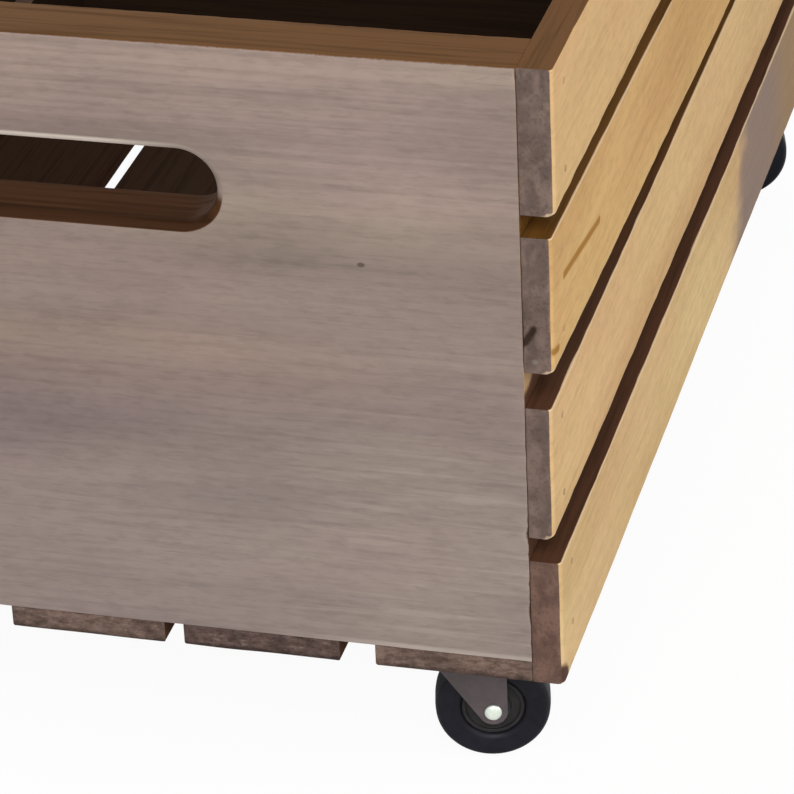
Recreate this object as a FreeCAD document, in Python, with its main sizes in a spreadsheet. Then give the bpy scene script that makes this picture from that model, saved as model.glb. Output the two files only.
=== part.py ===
"""Slatted wooden storage crate on four swivel casters, as a parametric document.

Frame: millimetres, +Z up, origin on the floor under the middle of the crate.
The front end panel faces -Y, and +X is to the right when looking at it.
"""
import FreeCAD, Part
import math
import os
import Sketcher

doc = FreeCAD.newDocument("crate_on_wheels")

# Driving dimensions, one spreadsheet row each
DIMENSIONS = [
    ("crate_width", 371.0, "outside, over the side slats"),
    ("crate_depth", 540.0, "outside, front panel to rear panel"),
    ("panel_height", 240.0, "end panel, from the floor slats to the rim"),
    ("panel_thick", 25.5, "end panel"),
    ("hole_length", 125.0, "hand hole, end to end"),
    ("hole_height", 28.5, "hand hole"),
    ("hole_below_rim", 41.6, "rim down to the hand hole's upper edge"),
    ("hole_round", 3.5, "rounding of the hand hole's edges"),
    ("board_round", 1.2, "eased edges of every board"),
    ("top_slat_tall", 56.0, "side slat at the rim"),
    ("base_slat_tall", 52.5, "side slat at the bottom, down past the floor slats"),
    ("upper_gap", 8.5, "below the top side slat"),
    ("middle_gap", 14.5, "between the two middle side slats"),
    ("lower_gap", 9.8, "above the base side slat"),
    ("top_slat_thick", 13.0, "side slat at the rim"),
    ("upper_slat_thick", 11.2, "second side slat"),
    ("lower_slat_thick", 9.8, "third side slat"),
    ("base_slat_thick", 12.0, "side slat at the bottom"),
    ("slat_drop", 11.0, "the second right slat is nailed this much lower at the rear"),
    ("floor_thick", 9.0, "floor slats"),
    ("edge_floor_wide", 60.0, "the two outer floor slats"),
    ("centre_floor_wide", 61.0, "the middle floor slat"),
    ("right_outer_gap", 13.7, "floor, beside the right edge slat"),
    ("right_inner_gap", 7.3, "floor, right of the middle slat"),
    ("left_inner_gap", 11.0, "floor, left of the middle slat"),
    ("left_outer_gap", 10.0, "floor, beside the left edge slat"),
    ("nail_length", 30.0, "wire nail with its head"),
    ("nail_wire", 1.8, "nail shank diameter"),
    ("nail_head", 2.6, "nail head diameter"),
    ("nail_head_tall", 0.8, "nail head, set flush in the board"),
    ("side_nail_depth", 17.0, "side nails, behind the panel's outer face"),
    ("floor_nail_depth", 7.2, "floor nails, behind the panel's outer face"),
    ("caster_height", 52.0, "floor to the underside of the floor slats"),
    ("front_caster_from_side", 48.1, "front kingpins, inwards from the crate's side"),
    ("rear_caster_from_side", 41.1, "rear kingpins, inwards from the crate's side"),
    ("caster_from_end", 28.7, "kingpin, inwards from the crate's end"),
    ("caster_trail", 12.0, "kingpin axis to axle axis"),
    ("caster_turn", 14.0, "degrees that every caster is swivelled by as it stands"),
    ("wheel_diameter", 44.0, "over the tread"),
    ("tyre_width", 17.0, "over the side walls"),
    ("tyre_shoulder", 1.6, "rounding of the tread's edges"),
    ("hub_diameter", 24.0, "where the tyre sits on the hub"),
    ("hub_rim", 1.6, "thickness of the hub's rim"),
    ("rim_width", 15.0, "hub rim, across the wheel"),
    ("hub_web", 12.6, "hub web between rim and boss"),
    ("boss_diameter", 13.0, "hub boss"),
    ("boss_width", 17.2, "hub boss, along the axle"),
    ("bush_diameter", 8.0, "sleeve bearing, outside"),
    ("bush_length", 17.8, "sleeve bearing, between the fork legs"),
    ("axle_diameter", 5.0, "axle shank"),
    ("axle_head", 6.6, "axle head diameter"),
    ("axle_head_tall", 1.5, "axle head"),
    ("axle_tip", 1.2, "axle standing out past its nut"),
    ("nut_flats", 8.0, "axle nut, across flats"),
    ("nut_tall", 3.6, "axle nut"),
    ("running_fit", 0.05, "radial clearance of a shaft that turns"),
    ("leg_clear", 0.6, "tyre to fork leg, each side"),
    ("fork_sheet", 1.6, "pressed steel of the fork"),
    ("fork_bend", 3.0, "outer radius of the fork's two bends"),
    ("fork_back", 9.0, "fork top behind the kingpin"),
    ("fork_shoulder", 4.5, "straight edge under the fork top's rear"),
    ("leg_round", 5.5, "rounded leg end about the axle"),
    ("plate_side", 38.0, "square top plate"),
    ("plate_thick", 2.0, "top plate"),
    ("plate_corner", 4.0, "top plate corner radius"),
    ("screw_spacing", 28.0, "between screws, both ways"),
    ("screw_hole", 4.4, "screw holes in the top plate"),
    ("screw_shank", 3.5, "screw shank diameter"),
    ("screw_length", 10.0, "screw, below its head"),
    ("screw_head", 6.6, "pan head diameter"),
    ("screw_head_tall", 1.5, "pan head"),
    ("kingpin_diameter", 6.0, "swivel rivet shank"),
    ("kingpin_head", 11.0, "swivel rivet head under the fork"),
    ("kingpin_head_tall", 1.8, "swivel rivet head"),
    ("head_clear", 0.3, "rivet head to the fork above it"),
    ("ball_diameter", 2.5, "swivel bearing balls"),
    ("ball_clear", 0.15, "ball to its two grooves"),
    ("ball_circle", 12.4, "diameter through the ball centres"),
    ("race_gap", 2.1, "top plate to fork top"),
    ("ball_count", 12, "balls in one swivel bearing"),
]

sheet = doc.addObject("Spreadsheet::Sheet", "dims")
for row, (alias, value, note) in enumerate(DIMENSIONS, start=1):
    sheet.set(f"A{row}", alias)
    sheet.set(f"B{row}", str(value))
    sheet.set(f"C{row}", note)
    sheet.setAlias(f"B{row}", alias)
doc.recompute()


def size(alias):
    """The value of one driving dimension, for shapes that are made in code."""
    return float(sheet.get(alias))


# Heights and places that several pieces share, as expressions on the sheet
FLOOR_TOP = "(dims.caster_height + dims.floor_thick)"
HALF_WIDTH = "(dims.crate_width / 2)"
HALF_DEPTH = "(dims.crate_depth / 2)"
HALF_PANEL = "(dims.crate_width / 2 - dims.top_slat_thick)"
MIDDLE_TALL = (
    "((dims.panel_height + dims.floor_thick - dims.top_slat_tall - dims.base_slat_tall"
    " - dims.upper_gap - dims.middle_gap - dims.lower_gap) / 2)"
)
LOWER_BOTTOM = "(dims.caster_height + dims.base_slat_tall + dims.lower_gap)"
UPPER_BOTTOM = f"({LOWER_BOTTOM} + {MIDDLE_TALL} + dims.middle_gap)"
TOP_BOTTOM = f"({FLOOR_TOP} + dims.panel_height - dims.top_slat_tall)"
DROP_ANGLE = "atan(dims.slat_drop / dims.crate_depth)"
AXLE_Z = "(dims.wheel_diameter / 2)"
PLATE_BOTTOM = "(dims.caster_height - dims.plate_thick)"
FORK_TOP = f"({PLATE_BOTTOM} - dims.race_gap)"
FORK_UNDER = f"({FORK_TOP} - dims.fork_sheet)"
BALL_Z = f"({PLATE_BOTTOM} - dims.race_gap / 2)"
GROOVE_DIAMETER = "(dims.ball_diameter + 2 * dims.ball_clear)"
LEG_INNER = "(dims.tyre_width / 2 + dims.leg_clear)"
LEG_OUTER = f"({LEG_INNER} + dims.fork_sheet)"
CUT_PAST = 2.0
ROUND_SHARE = 0.45

sub_parts = []


def value_of(expression):
    """The number that an expression on the sheet gives."""
    return float(sheet.evalExpression(expression))


def new_body(label):
    """An empty body that becomes one sub-part."""
    body = doc.addObject("PartDesign::Body", label)
    body.Label = label
    sub_parts.append(body)
    return body


def place(body, x="0", y="0", z="0"):
    """Ties a sub-part's position to the sheet."""
    for axis, expression in zip("xyz", (x, y, z)):
        body.setExpression(f"Placement.Base.{axis}", expression)


def turn(body, axis, angle):
    """Turns a sub-part about an axis through its own origin by an expression."""
    body.Placement.Rotation.Axis = FreeCAD.Vector(*axis)
    body.setExpression("Placement.Rotation.Angle", angle)


def new_sketch(body, role, lift=None):
    """A sketch on one of the body's origin planes, raised along its normal by an expression."""
    sketch = body.newObject("Sketcher::SketchObject", body.Name + "_sketch")
    plane = next(feature for feature in body.Origin.OriginFeatures if feature.Role == role)
    sketch.AttachmentSupport = [(plane, "")]
    sketch.MapMode = "FlatFace"
    if lift:
        sketch.setExpression("AttachmentOffset.Base.z", lift)
    return sketch


def tie(sketch, kind, *where, expression):
    """Adds a dimension to a sketch and binds it to an expression."""
    index = sketch.addConstraint(Sketcher.Constraint(kind, *where, value_of(expression)))
    sketch.setExpression(f"Constraints[{index}]", expression)


def pin_point(sketch, geometry, end, x, y):
    """Fixes a point of the sketch at two expressions, measured from the origin."""
    if x == "0":
        sketch.addConstraint(Sketcher.Constraint("PointOnObject", geometry, end, -2))
    else:
        tie(sketch, "DistanceX", -1, 1, geometry, end, expression=x)
    if y == "0":
        sketch.addConstraint(Sketcher.Constraint("PointOnObject", geometry, end, -1))
    else:
        tie(sketch, "DistanceY", -1, 1, geometry, end, expression=y)


def polygon(sketch, corners):
    """A closed outline of straight lines through corners given as pairs of expressions."""
    points = [FreeCAD.Vector(value_of(x), value_of(y), 0) for x, y in corners]
    first = sketch.GeometryCount
    count = len(points)
    for index, point in enumerate(points):
        sketch.addGeometry(Part.LineSegment(point, points[(index + 1) % count]))
    for index, (x, y) in enumerate(corners):
        line = first + index
        sketch.addConstraint(Sketcher.Constraint("Coincident", first + (index - 1) % count, 2, line, 1))
        pin_point(sketch, line, 1, x, y)


def rectangle(sketch, left, bottom, right, top):
    """A rectangle between four expressions."""
    polygon(sketch, [(left, bottom), (right, bottom), (right, top), (left, top)])


def circle(sketch, x, y, diameter):
    """A circle with its centre and diameter tied to expressions."""
    centre = FreeCAD.Vector(value_of(x), value_of(y), 0)
    upright = FreeCAD.Vector(0, 0, 1)
    index = sketch.addGeometry(Part.Circle(centre, upright, value_of(diameter) / 2))
    pin_point(sketch, index, 3, x, y)
    tie(sketch, "Diameter", index, expression=diameter)


def pad(body, sketch, length, both_ways=False):
    """Extrudes a sketch along its normal, or half of the length each way."""
    feature = body.newObject("PartDesign::Pad", body.Name + "_pad")
    feature.Profile = sketch
    feature.Midplane = both_ways
    feature.setExpression("Length", length)
    doc.recompute()
    return feature


def pocket_through(body, sketch):
    """Cuts a sketch through the whole body, both ways."""
    before = body.Shape.Volume
    feature = body.newObject("PartDesign::Pocket", body.Name + "_pocket")
    feature.Profile = sketch
    feature.Type = "ThroughAll"
    feature.Midplane = True
    doc.recompute()
    check_removed(body, before)
    return feature


def check_removed(body, before):
    """Stops the build if a cut took nothing away."""
    if not body.Shape.Volume < before - 1e-3:
        raise RuntimeError(f"{body.Label}: a cut removed nothing")


def revolve(body, sketch, kind="PartDesign::Revolution"):
    """Turns a sketch a full circle about its upright axis."""
    feature = body.newObject(kind, body.Name + "_revolve")
    feature.Profile = sketch
    feature.ReferenceAxis = (sketch, ["V_Axis"])
    feature.Angle = 360
    doc.recompute()
    return feature


def round_edges(body, chosen, radius):
    """Rounds the edges of the body's tip for which chosen(edge) is true."""
    base = body.Tip
    names = [f"Edge{index}" for index, edge in enumerate(base.Shape.Edges, start=1) if chosen(edge)]
    if not names:
        raise RuntimeError(f"{body.Label}: no edges to round")
    feature = body.newObject("PartDesign::Fillet", body.Name + "_round")
    feature.Base = (base, names)
    feature.setExpression("Radius", radius)
    doc.recompute()
    return feature


def runs_along(axis):
    """A test for straight edges parallel to an axis, given as 0, 1 or 2."""

    def test(edge):
        if not isinstance(edge.Curve, Part.Line):
            return False
        return abs(abs(edge.Curve.Direction[axis]) - 1) < 1e-6

    return test


def board(label, wide, tall, length):
    """A sawn board: its rectangular section, padded along Y, with its long edges eased."""
    body = new_body(label)
    sketch = new_sketch(body, "XZ_Plane")
    rectangle(sketch, "0", "0", wide, tall)
    feature = pad(body, sketch, length)
    feature.Reversed = True
    doc.recompute()
    most = f"{ROUND_SHARE} * min({wide}; {tall})"
    round_edges(body, runs_along(1), f"min(dims.board_round; {most})")
    return body


# End panels with their hand holes
def end_panel(label, outer_face):
    """One end board with a stadium-shaped hand hole. outer_face is its lowest Y, as an expression."""
    body = new_body(label)
    outline = new_sketch(body, "XZ_Plane")
    rectangle(outline, f"-{HALF_PANEL}", "0", HALF_PANEL, "dims.panel_height")
    feature = pad(body, outline, "dims.panel_thick")
    feature.Reversed = True
    doc.recompute()
    hole = new_sketch(body, "XZ_Plane")
    hand_hole(hole)
    pocket_through(body, hole)
    round_edges(body, on_hand_hole, f"min(dims.hole_round; {ROUND_SHARE} * dims.panel_thick)")
    round_edges(body, on_rim, f"min(dims.board_round; {ROUND_SHARE} * dims.panel_thick)")
    place(body, y=outer_face, z=FLOOR_TOP)
    return body


def hand_hole(sketch):
    """A stadium: two level lines joined by two half circles."""
    flat = "((dims.hole_length - dims.hole_height) / 2)"
    upper = "(dims.panel_height - dims.hole_below_rim)"
    lower = f"({upper} - dims.hole_height)"
    x, top, bottom = value_of(flat), value_of(upper), value_of(lower)
    middle, radius = (top + bottom) / 2, (top - bottom) / 2
    upright = FreeCAD.Vector(0, 0, 1)
    corners = [(x, top), (-x, top), (-x, bottom), (x, bottom)]
    points = [FreeCAD.Vector(px, py, 0) for px, py in corners]
    quarter = math.pi / 2
    sketch.addGeometry(Part.LineSegment(points[0], points[1]))
    left_round = Part.Circle(FreeCAD.Vector(-x, middle, 0), upright, radius)
    sketch.addGeometry(Part.ArcOfCircle(left_round, quarter, 3 * quarter))
    sketch.addGeometry(Part.LineSegment(points[2], points[3]))
    right_round = Part.Circle(FreeCAD.Vector(x, middle, 0), upright, radius)
    sketch.addGeometry(Part.ArcOfCircle(right_round, -quarter, quarter))
    joins = [(0, 2, 1, 1), (1, 2, 2, 1), (2, 2, 3, 1), (3, 2, 0, 1)]
    for join in joins:
        sketch.addConstraint(Sketcher.Constraint("Tangent", *join))
    pin_point(sketch, 0, 1, flat, upper)
    tie(sketch, "DistanceX", -1, 1, 0, 2, expression=f"-{flat}")
    sketch.addConstraint(Sketcher.Constraint("Horizontal", 0))
    tie(sketch, "DistanceY", -1, 1, 2, 1, expression=lower)


def on_hand_hole(edge):
    """The two face loops of the hand hole, away from the panel's own outline."""
    box = edge.BoundBox
    half_panel, height = value_of(HALF_PANEL), size("panel_height")
    inside = box.XMin > -half_panel + 1 and box.XMax < half_panel - 1
    inside = inside and box.ZMin > 1 and box.ZMax < height - 1
    return inside and box.YLength < 1e-6


def on_rim(edge):
    """The two long upper edges of an end panel."""
    level = runs_along(0)(edge)
    return level and abs(edge.BoundBox.ZMin - size("panel_height")) < 1e-6


end_panel("front_end_panel", f"-{HALF_DEPTH}")
end_panel("rear_end_panel", f"{HALF_DEPTH} - dims.panel_thick")

# Side slats, four on each side, nailed to the edges of the end panels
SIDE_SLATS = [
    ("top_slat", "dims.top_slat_thick", "dims.top_slat_tall", TOP_BOTTOM),
    ("upper_slat", "dims.upper_slat_thick", MIDDLE_TALL, UPPER_BOTTOM),
    ("lower_slat", "dims.lower_slat_thick", MIDDLE_TALL, LOWER_BOTTOM),
    ("base_slat", "dims.base_slat_thick", "dims.base_slat_tall", "dims.caster_height"),
]


def side_slat(side, name, thick, tall, bottom):
    """One side slat. The second slat on the right slopes down to the rear."""
    slopes = side == "right" and name == "upper_slat"
    length = "dims.crate_depth"
    if slopes:
        length = f"(dims.crate_depth - {tall} * sin({DROP_ANGLE}))"
    slat = board(f"{side}_{name}", thick, tall, length)
    inner_face = HALF_PANEL if side == "right" else f"-{HALF_PANEL} - {thick}"
    front = f"-{HALF_DEPTH}"
    if slopes:
        turn(slat, (-1, 0, 0), DROP_ANGLE)
    place(slat, inner_face, front, bottom)


for side in ("right", "left"):
    for slat_row in SIDE_SLATS:
        side_slat(side, *slat_row)

# Floor slats, five across, nailed under the end panels between the two base slats
HALF_CENTRE = "(dims.centre_floor_wide / 2)"
EDGE_INNER = f"({HALF_PANEL} - dims.edge_floor_wide)"
RIGHT_INNER = f"({HALF_CENTRE} + dims.right_inner_gap)"
RIGHT_OUTER = f"({EDGE_INNER} - dims.right_outer_gap)"
LEFT_INNER = f"(-{HALF_CENTRE} - dims.left_inner_gap)"
LEFT_OUTER = f"(dims.left_outer_gap - {EDGE_INNER})"
FLOOR_SLATS = [
    ("floor_slat_right_edge", EDGE_INNER, HALF_PANEL),
    ("floor_slat_right", RIGHT_INNER, RIGHT_OUTER),
    ("floor_slat_centre", f"(-{HALF_CENTRE})", HALF_CENTRE),
    ("floor_slat_left", LEFT_OUTER, LEFT_INNER),
    ("floor_slat_left_edge", f"(-{HALF_PANEL})", f"(-{EDGE_INNER})"),
]
for name, left, right in FLOOR_SLATS:
    slat = board(name, f"({right} - {left})", "dims.floor_thick", "dims.crate_depth")
    place(slat, left, f"-{HALF_DEPTH}", "dims.caster_height")


# Nails and screws, each node a group of separate solids
def turned(profile):
    """A solid of revolution about Z from radius and height pairs, starting and ending on the axis."""
    points = [FreeCAD.Vector(radius, 0, height) for radius, height in profile]
    face = Part.Face(Part.makePolygon(points + points[:1]))
    return face.revolve(FreeCAD.Vector(0, 0, 0), FreeCAD.Vector(0, 0, 1), 360)


def group_of(label, solid, places):
    """One sub-part of like solids. Each place is a point and the direction the solid's +Z takes."""
    copies = []
    for point, direction in places:
        copy = solid.copy()
        upright = FreeCAD.Rotation(FreeCAD.Vector(0, 0, 1), FreeCAD.Vector(*direction))
        copy.Placement = FreeCAD.Placement(FreeCAD.Vector(*point), upright)
        copies.append(copy)
    feature = doc.addObject("Part::Feature", label)
    feature.Label = label
    feature.Shape = Part.makeCompound(copies)
    sub_parts.append(feature)


def nail():
    """A wire nail: its flat head at Z 0, its shank and point downwards."""
    head, shank = size("nail_head") / 2, size("nail_wire") / 2
    neck, tip = -size("nail_head_tall"), -size("nail_length")
    point = tip + size("nail_wire")
    return turned([(0, 0), (head, 0), (head, neck), (shank, neck), (shank, point), (0, tip)])


NAIL_SHARE = 0.3
ends = (-1, 1)


def side_nail_places():
    """Two nails through each end of each side slat into the panel, heads flush with its outer face."""
    half_depth, floor = size("crate_depth") / 2, value_of(FLOOR_TOP)
    depth = half_depth - size("side_nail_depth")
    slope = size("slat_drop") / size("crate_depth")
    places = []
    for side, out in (("right", 1), ("left", -1)):
        for name, thick, tall, bottom in SIDE_SLATS:
            outer = out * (value_of(HALF_PANEL) + value_of(thick))
            top, low = value_of(bottom) + value_of(tall), max(value_of(bottom), floor)
            slopes = side == "right" and name == "upper_slat"
            for end in ends:
                drop = (half_depth + end * depth) * slope if slopes else 0.0
                for share in (-NAIL_SHARE, NAIL_SHARE):
                    height = (top + low) / 2 + share * (top - low) - drop
                    places.append(((outer, end * depth, height), (out, 0, 0)))
    return places


def floor_nail_places():
    """Two nails up through each end of each floor slat, heads flush with its underside."""
    depth = size("crate_depth") / 2 - size("floor_nail_depth")
    places = []
    for _, left, right in FLOOR_SLATS:
        middle = (value_of(left) + value_of(right)) / 2
        wide = value_of(right) - value_of(left)
        for end in ends:
            for share in (-NAIL_SHARE, NAIL_SHARE):
                places.append(((middle + share * wide, end * depth, size("caster_height")), (0, 0, -1)))
    return places


group_of("side_slat_nails", nail(), side_nail_places())
group_of("floor_slat_nails", nail(), floor_nail_places())

# Swivel casters, one near each corner, all trailing to the right and a little to the rear
FRONT, REAR = "-", ""
CORNERS = [
    ("front_right", "", FRONT),
    ("front_left", "-", FRONT),
    ("rear_right", "", REAR),
    ("rear_left", "-", REAR),
]


def kingpin_axis(corner_x, corner_y):
    """Where a caster's kingpin stands, as two expressions. The rear ones are set wider apart."""
    from_side = "dims.front_caster_from_side" if corner_y == FRONT else "dims.rear_caster_from_side"
    x = f"{corner_x}({HALF_WIDTH} - {from_side})"
    y = f"{corner_y}({HALF_DEPTH} - dims.caster_from_end)"
    return x, y


def ball_groove(body):
    """Cuts the round groove that the swivel balls run in."""
    before = body.Shape.Volume
    sketch = new_sketch(body, "XZ_Plane")
    circle(sketch, "dims.ball_circle / 2", BALL_Z, GROOVE_DIAMETER)
    revolve(body, sketch, "PartDesign::Groove")
    check_removed(body, before)


def top_plate(label):
    """Square plate with rounded corners, four screw holes, the kingpin's hole and a ball groove."""
    body = new_body(label)
    half, screw = "(dims.plate_side / 2)", "(dims.screw_spacing / 2)"
    outline = new_sketch(body, "XY_Plane", PLATE_BOTTOM)
    rectangle(outline, f"-{half}", f"-{half}", half, half)
    pad(body, outline, "dims.plate_thick")
    round_edges(body, runs_along(2), f"min(dims.plate_corner; {ROUND_SHARE} * dims.plate_side)")
    holes = new_sketch(body, "XY_Plane", PLATE_BOTTOM)
    for x in (screw, f"-{screw}"):
        for y in (screw, f"-{screw}"):
            circle(holes, x, y, "dims.screw_hole")
    circle(holes, "0", "0", "dims.kingpin_diameter")
    pocket_through(body, holes)
    ball_groove(body)
    return body


def kingpin(label):
    """Swivel rivet: a shank flush with the top plate and a flat head under the fork."""
    body = new_body(label)
    under = f"({FORK_UNDER} - dims.head_clear)"
    low = f"({under} - dims.kingpin_head_tall)"
    shank, head = "(dims.kingpin_diameter / 2)", "(dims.kingpin_head / 2)"
    sketch = new_sketch(body, "XZ_Plane")
    polygon(sketch, [
        ("0", low), (head, low), (head, under), (shank, under),
        (shank, "dims.caster_height"), ("0", "dims.caster_height"),
    ])
    revolve(body, sketch)
    return body


def fork(label):
    """Pressed fork: a folded channel trimmed to slanting legs, with its axle and kingpin holes."""
    body = new_body(label)
    foot = f"({AXLE_Z} - dims.leg_round)"
    front = "(dims.caster_trail + dims.leg_round)"
    section = new_sketch(body, "YZ_Plane", f"-dims.fork_back - {CUT_PAST}")
    polygon(section, [
        (f"-{LEG_OUTER}", foot), (f"-{LEG_INNER}", foot), (f"-{LEG_INNER}", FORK_UNDER),
        (LEG_INNER, FORK_UNDER), (LEG_INNER, foot), (LEG_OUTER, foot),
        (LEG_OUTER, FORK_TOP), (f"-{LEG_OUTER}", FORK_TOP),
    ])
    pad(body, section, f"dims.fork_back + {front} + 2 * {CUT_PAST}")
    top = value_of(FORK_TOP)

    def on_bend(edge):
        return runs_along(0)(edge) and abs(edge.BoundBox.ZMin - top) < 1e-6

    round_edges(body, on_bend, "dims.fork_bend")
    trim = new_sketch(body, "XZ_Plane")
    fork_side(trim, front)
    pocket_through(body, trim)
    axle_hole = new_sketch(body, "XZ_Plane")
    circle(axle_hole, "dims.caster_trail", AXLE_Z, "dims.axle_diameter")
    pocket_through(body, axle_hole)
    pin_hole = new_sketch(body, "XY_Plane")
    circle(pin_hole, "0", "0", "dims.kingpin_diameter + 2 * dims.running_fit")
    pocket_through(body, pin_hole)
    ball_groove(body)
    return body


def fork_side(sketch, front):
    """What the press trims away: a frame round the fork's side view.

    The side view drops straight from the fork top in front, turns about the axle, and slants
    back up, tangent to that turn, to the shoulder behind the kingpin.
    """
    back, high = "-dims.fork_back", f"({FORK_TOP} + {CUT_PAST})"
    shoulder = f"({FORK_TOP} - dims.fork_shoulder)"
    past = f"{2 * CUT_PAST}"
    under = f"{AXLE_Z} - dims.leg_round - {past}"
    rectangle(sketch, f"{back} - {past}", under, f"{front} + {past}", f"{high} + {past}")
    axle_x, axle_z, foot_round = size("caster_trail"), value_of(AXLE_Z), size("leg_round")
    left, right = value_of(back), value_of(front)
    upper, lower = value_of(high), value_of(shoulder)
    reach = math.hypot(left - axle_x, lower - axle_z)
    slant = math.atan2(lower - axle_z, left - axle_x) + math.acos(foot_round / reach)
    touch = FreeCAD.Vector(axle_x + foot_round * math.cos(slant), axle_z + foot_round * math.sin(slant), 0)
    outline = ((left, upper), (right, upper), (right, axle_z), (left, lower))
    corner = [FreeCAD.Vector(*point, 0) for point in outline]
    upright = FreeCAD.Vector(0, 0, 1)
    about_axle = Part.Circle(FreeCAD.Vector(axle_x, axle_z, 0), upright, foot_round)
    top = sketch.addGeometry(Part.LineSegment(corner[0], corner[1]))
    drop = sketch.addGeometry(Part.LineSegment(corner[1], corner[2]))
    arc = sketch.addGeometry(Part.ArcOfCircle(about_axle, slant, 2 * math.pi))
    slope = sketch.addGeometry(Part.LineSegment(touch, corner[3]))
    rear = sketch.addGeometry(Part.LineSegment(corner[3], corner[0]))
    for one, other in ((top, drop), (slope, rear), (rear, top)):
        sketch.addConstraint(Sketcher.Constraint("Coincident", one, 2, other, 1))
    sketch.addConstraint(Sketcher.Constraint("Tangent", drop, 2, arc, 2))
    sketch.addConstraint(Sketcher.Constraint("Tangent", arc, 1, slope, 1))
    pin_point(sketch, top, 1, back, high)
    pin_point(sketch, top, 2, front, high)
    pin_point(sketch, arc, 3, "dims.caster_trail", AXLE_Z)
    pin_point(sketch, rear, 1, back, shoulder)
    sketch.addConstraint(Sketcher.Constraint("Vertical", drop))


def swivel_balls(label, x, y):
    """The balls between top plate and fork, evenly spaced on their circle."""
    count = int(size("ball_count"))
    radius, height = size("ball_circle") / 2, value_of(BALL_Z)
    ball = Part.makeSphere(size("ball_diameter") / 2)
    places = []
    for index in range(count):
        around = 2 * math.pi * index / count
        centre = (value_of(x) + radius * math.cos(around), value_of(y) + radius * math.sin(around), height)
        places.append((centre, (0, 0, 1)))
    group_of(label, ball, places)


def axle(label):
    """Axle bolt with a low domed head in front and a plain end behind its nut."""
    body = new_body(label)
    shank, head = "(dims.axle_diameter / 2)", "(dims.axle_head / 2)"
    rear = f"({LEG_OUTER} + dims.nut_tall + dims.axle_tip)"
    face = f"(-{LEG_OUTER} - dims.axle_head_tall)"
    crown = f"(-{LEG_OUTER} - dims.axle_head_tall / 2)"
    sketch = new_sketch(body, "XY_Plane")
    polygon(sketch, [
        ("0", face), (f"0.6 * {head}", face), (head, crown), (head, f"-{LEG_OUTER}"),
        (shank, f"-{LEG_OUTER}"), (shank, rear), ("0", rear),
    ])
    revolve(body, sketch)
    return body


def axle_nut(label):
    """Hexagon nut on the axle's rear end, seated on the fork leg."""
    body = new_body(label)
    reach = "(dims.nut_flats / 2 / cos(30))"
    flat = "(dims.nut_flats / 2)"
    sketch = new_sketch(body, "XZ_Plane", f"-{LEG_OUTER}")
    polygon(sketch, [
        (reach, "0"), (f"{reach} / 2", flat), (f"-{reach} / 2", flat),
        (f"-{reach}", "0"), (f"-{reach} / 2", f"-{flat}"), (f"{reach} / 2", f"-{flat}"),
    ])
    circle(sketch, "0", "0", "dims.axle_diameter")
    feature = pad(body, sketch, "dims.nut_tall")
    feature.Reversed = True
    doc.recompute()
    return body


def wheel_bush(label):
    """Sleeve bearing pressed into the hub, running on the axle."""
    body = new_body(label)
    bore = "(dims.axle_diameter / 2 + dims.running_fit)"
    half = "(dims.bush_length / 2)"
    sketch = new_sketch(body, "XY_Plane")
    rectangle(sketch, bore, f"-{half}", "dims.bush_diameter / 2", half)
    revolve(body, sketch)
    return body


def wheel_hub(label):
    """Moulded hub: a boss on the bush, a thin web and a rim under the tyre."""
    body = new_body(label)
    bore, boss = "(dims.bush_diameter / 2)", "(dims.boss_diameter / 2)"
    rim = "(dims.hub_diameter / 2)"
    inner = f"({rim} - dims.hub_rim)"
    boss_half, web_half, rim_half = "(dims.boss_width / 2)", "(dims.hub_web / 2)", "(dims.rim_width / 2)"
    right_side = [
        (bore, f"-{boss_half}"), (boss, f"-{boss_half}"), (boss, f"-{web_half}"), (inner, f"-{web_half}"),
        (inner, f"-{rim_half}"), (rim, f"-{rim_half}"),
    ]
    left_side = [(radius, along[1:]) for radius, along in reversed(right_side)]
    sketch = new_sketch(body, "XY_Plane")
    polygon(sketch, right_side + left_side)
    revolve(body, sketch)
    return body


def tyre(label):
    """Solid tyre with rounded shoulders on the hub's rim."""
    body = new_body(label)
    half = "(dims.tyre_width / 2)"
    sketch = new_sketch(body, "XY_Plane")
    rectangle(sketch, "dims.hub_diameter / 2", f"-{half}", "dims.wheel_diameter / 2", half)
    revolve(body, sketch)
    tread = size("wheel_diameter") / 2

    def on_tread(edge):
        return isinstance(edge.Curve, Part.Circle) and abs(edge.Curve.Radius - tread) < 1e-6

    wall = "(dims.wheel_diameter - dims.hub_diameter) / 2"
    round_edges(body, on_tread, f"min(dims.tyre_shoulder; {ROUND_SHARE} * dims.tyre_width; {wall})")
    return body


def caster_screw():
    """A pan-head wood screw: the seat of its head at Z 0, its head below and its point up."""
    head, shank = size("screw_head") / 2, size("screw_shank") / 2
    low, length = -size("screw_head_tall"), size("screw_length")
    shoulder = length - size("screw_shank")
    return turned([
        (0, low), (0.7 * head, low), (head, low / 2), (head, 0), (shank, 0), (shank, shoulder), (0, length),
    ])


def caster_screw_places():
    """Four screws up through each top plate into the floor slat."""
    half, seat = size("screw_spacing") / 2, value_of(PLATE_BOTTOM)
    places = []
    for _, corner_x, corner_y in CORNERS:
        x, y = (value_of(expression) for expression in kingpin_axis(corner_x, corner_y))
        for step_x in ends:
            for step_y in ends:
                places.append(((x + step_x * half, y + step_y * half, seat), (0, 0, 1)))
    return places


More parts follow.
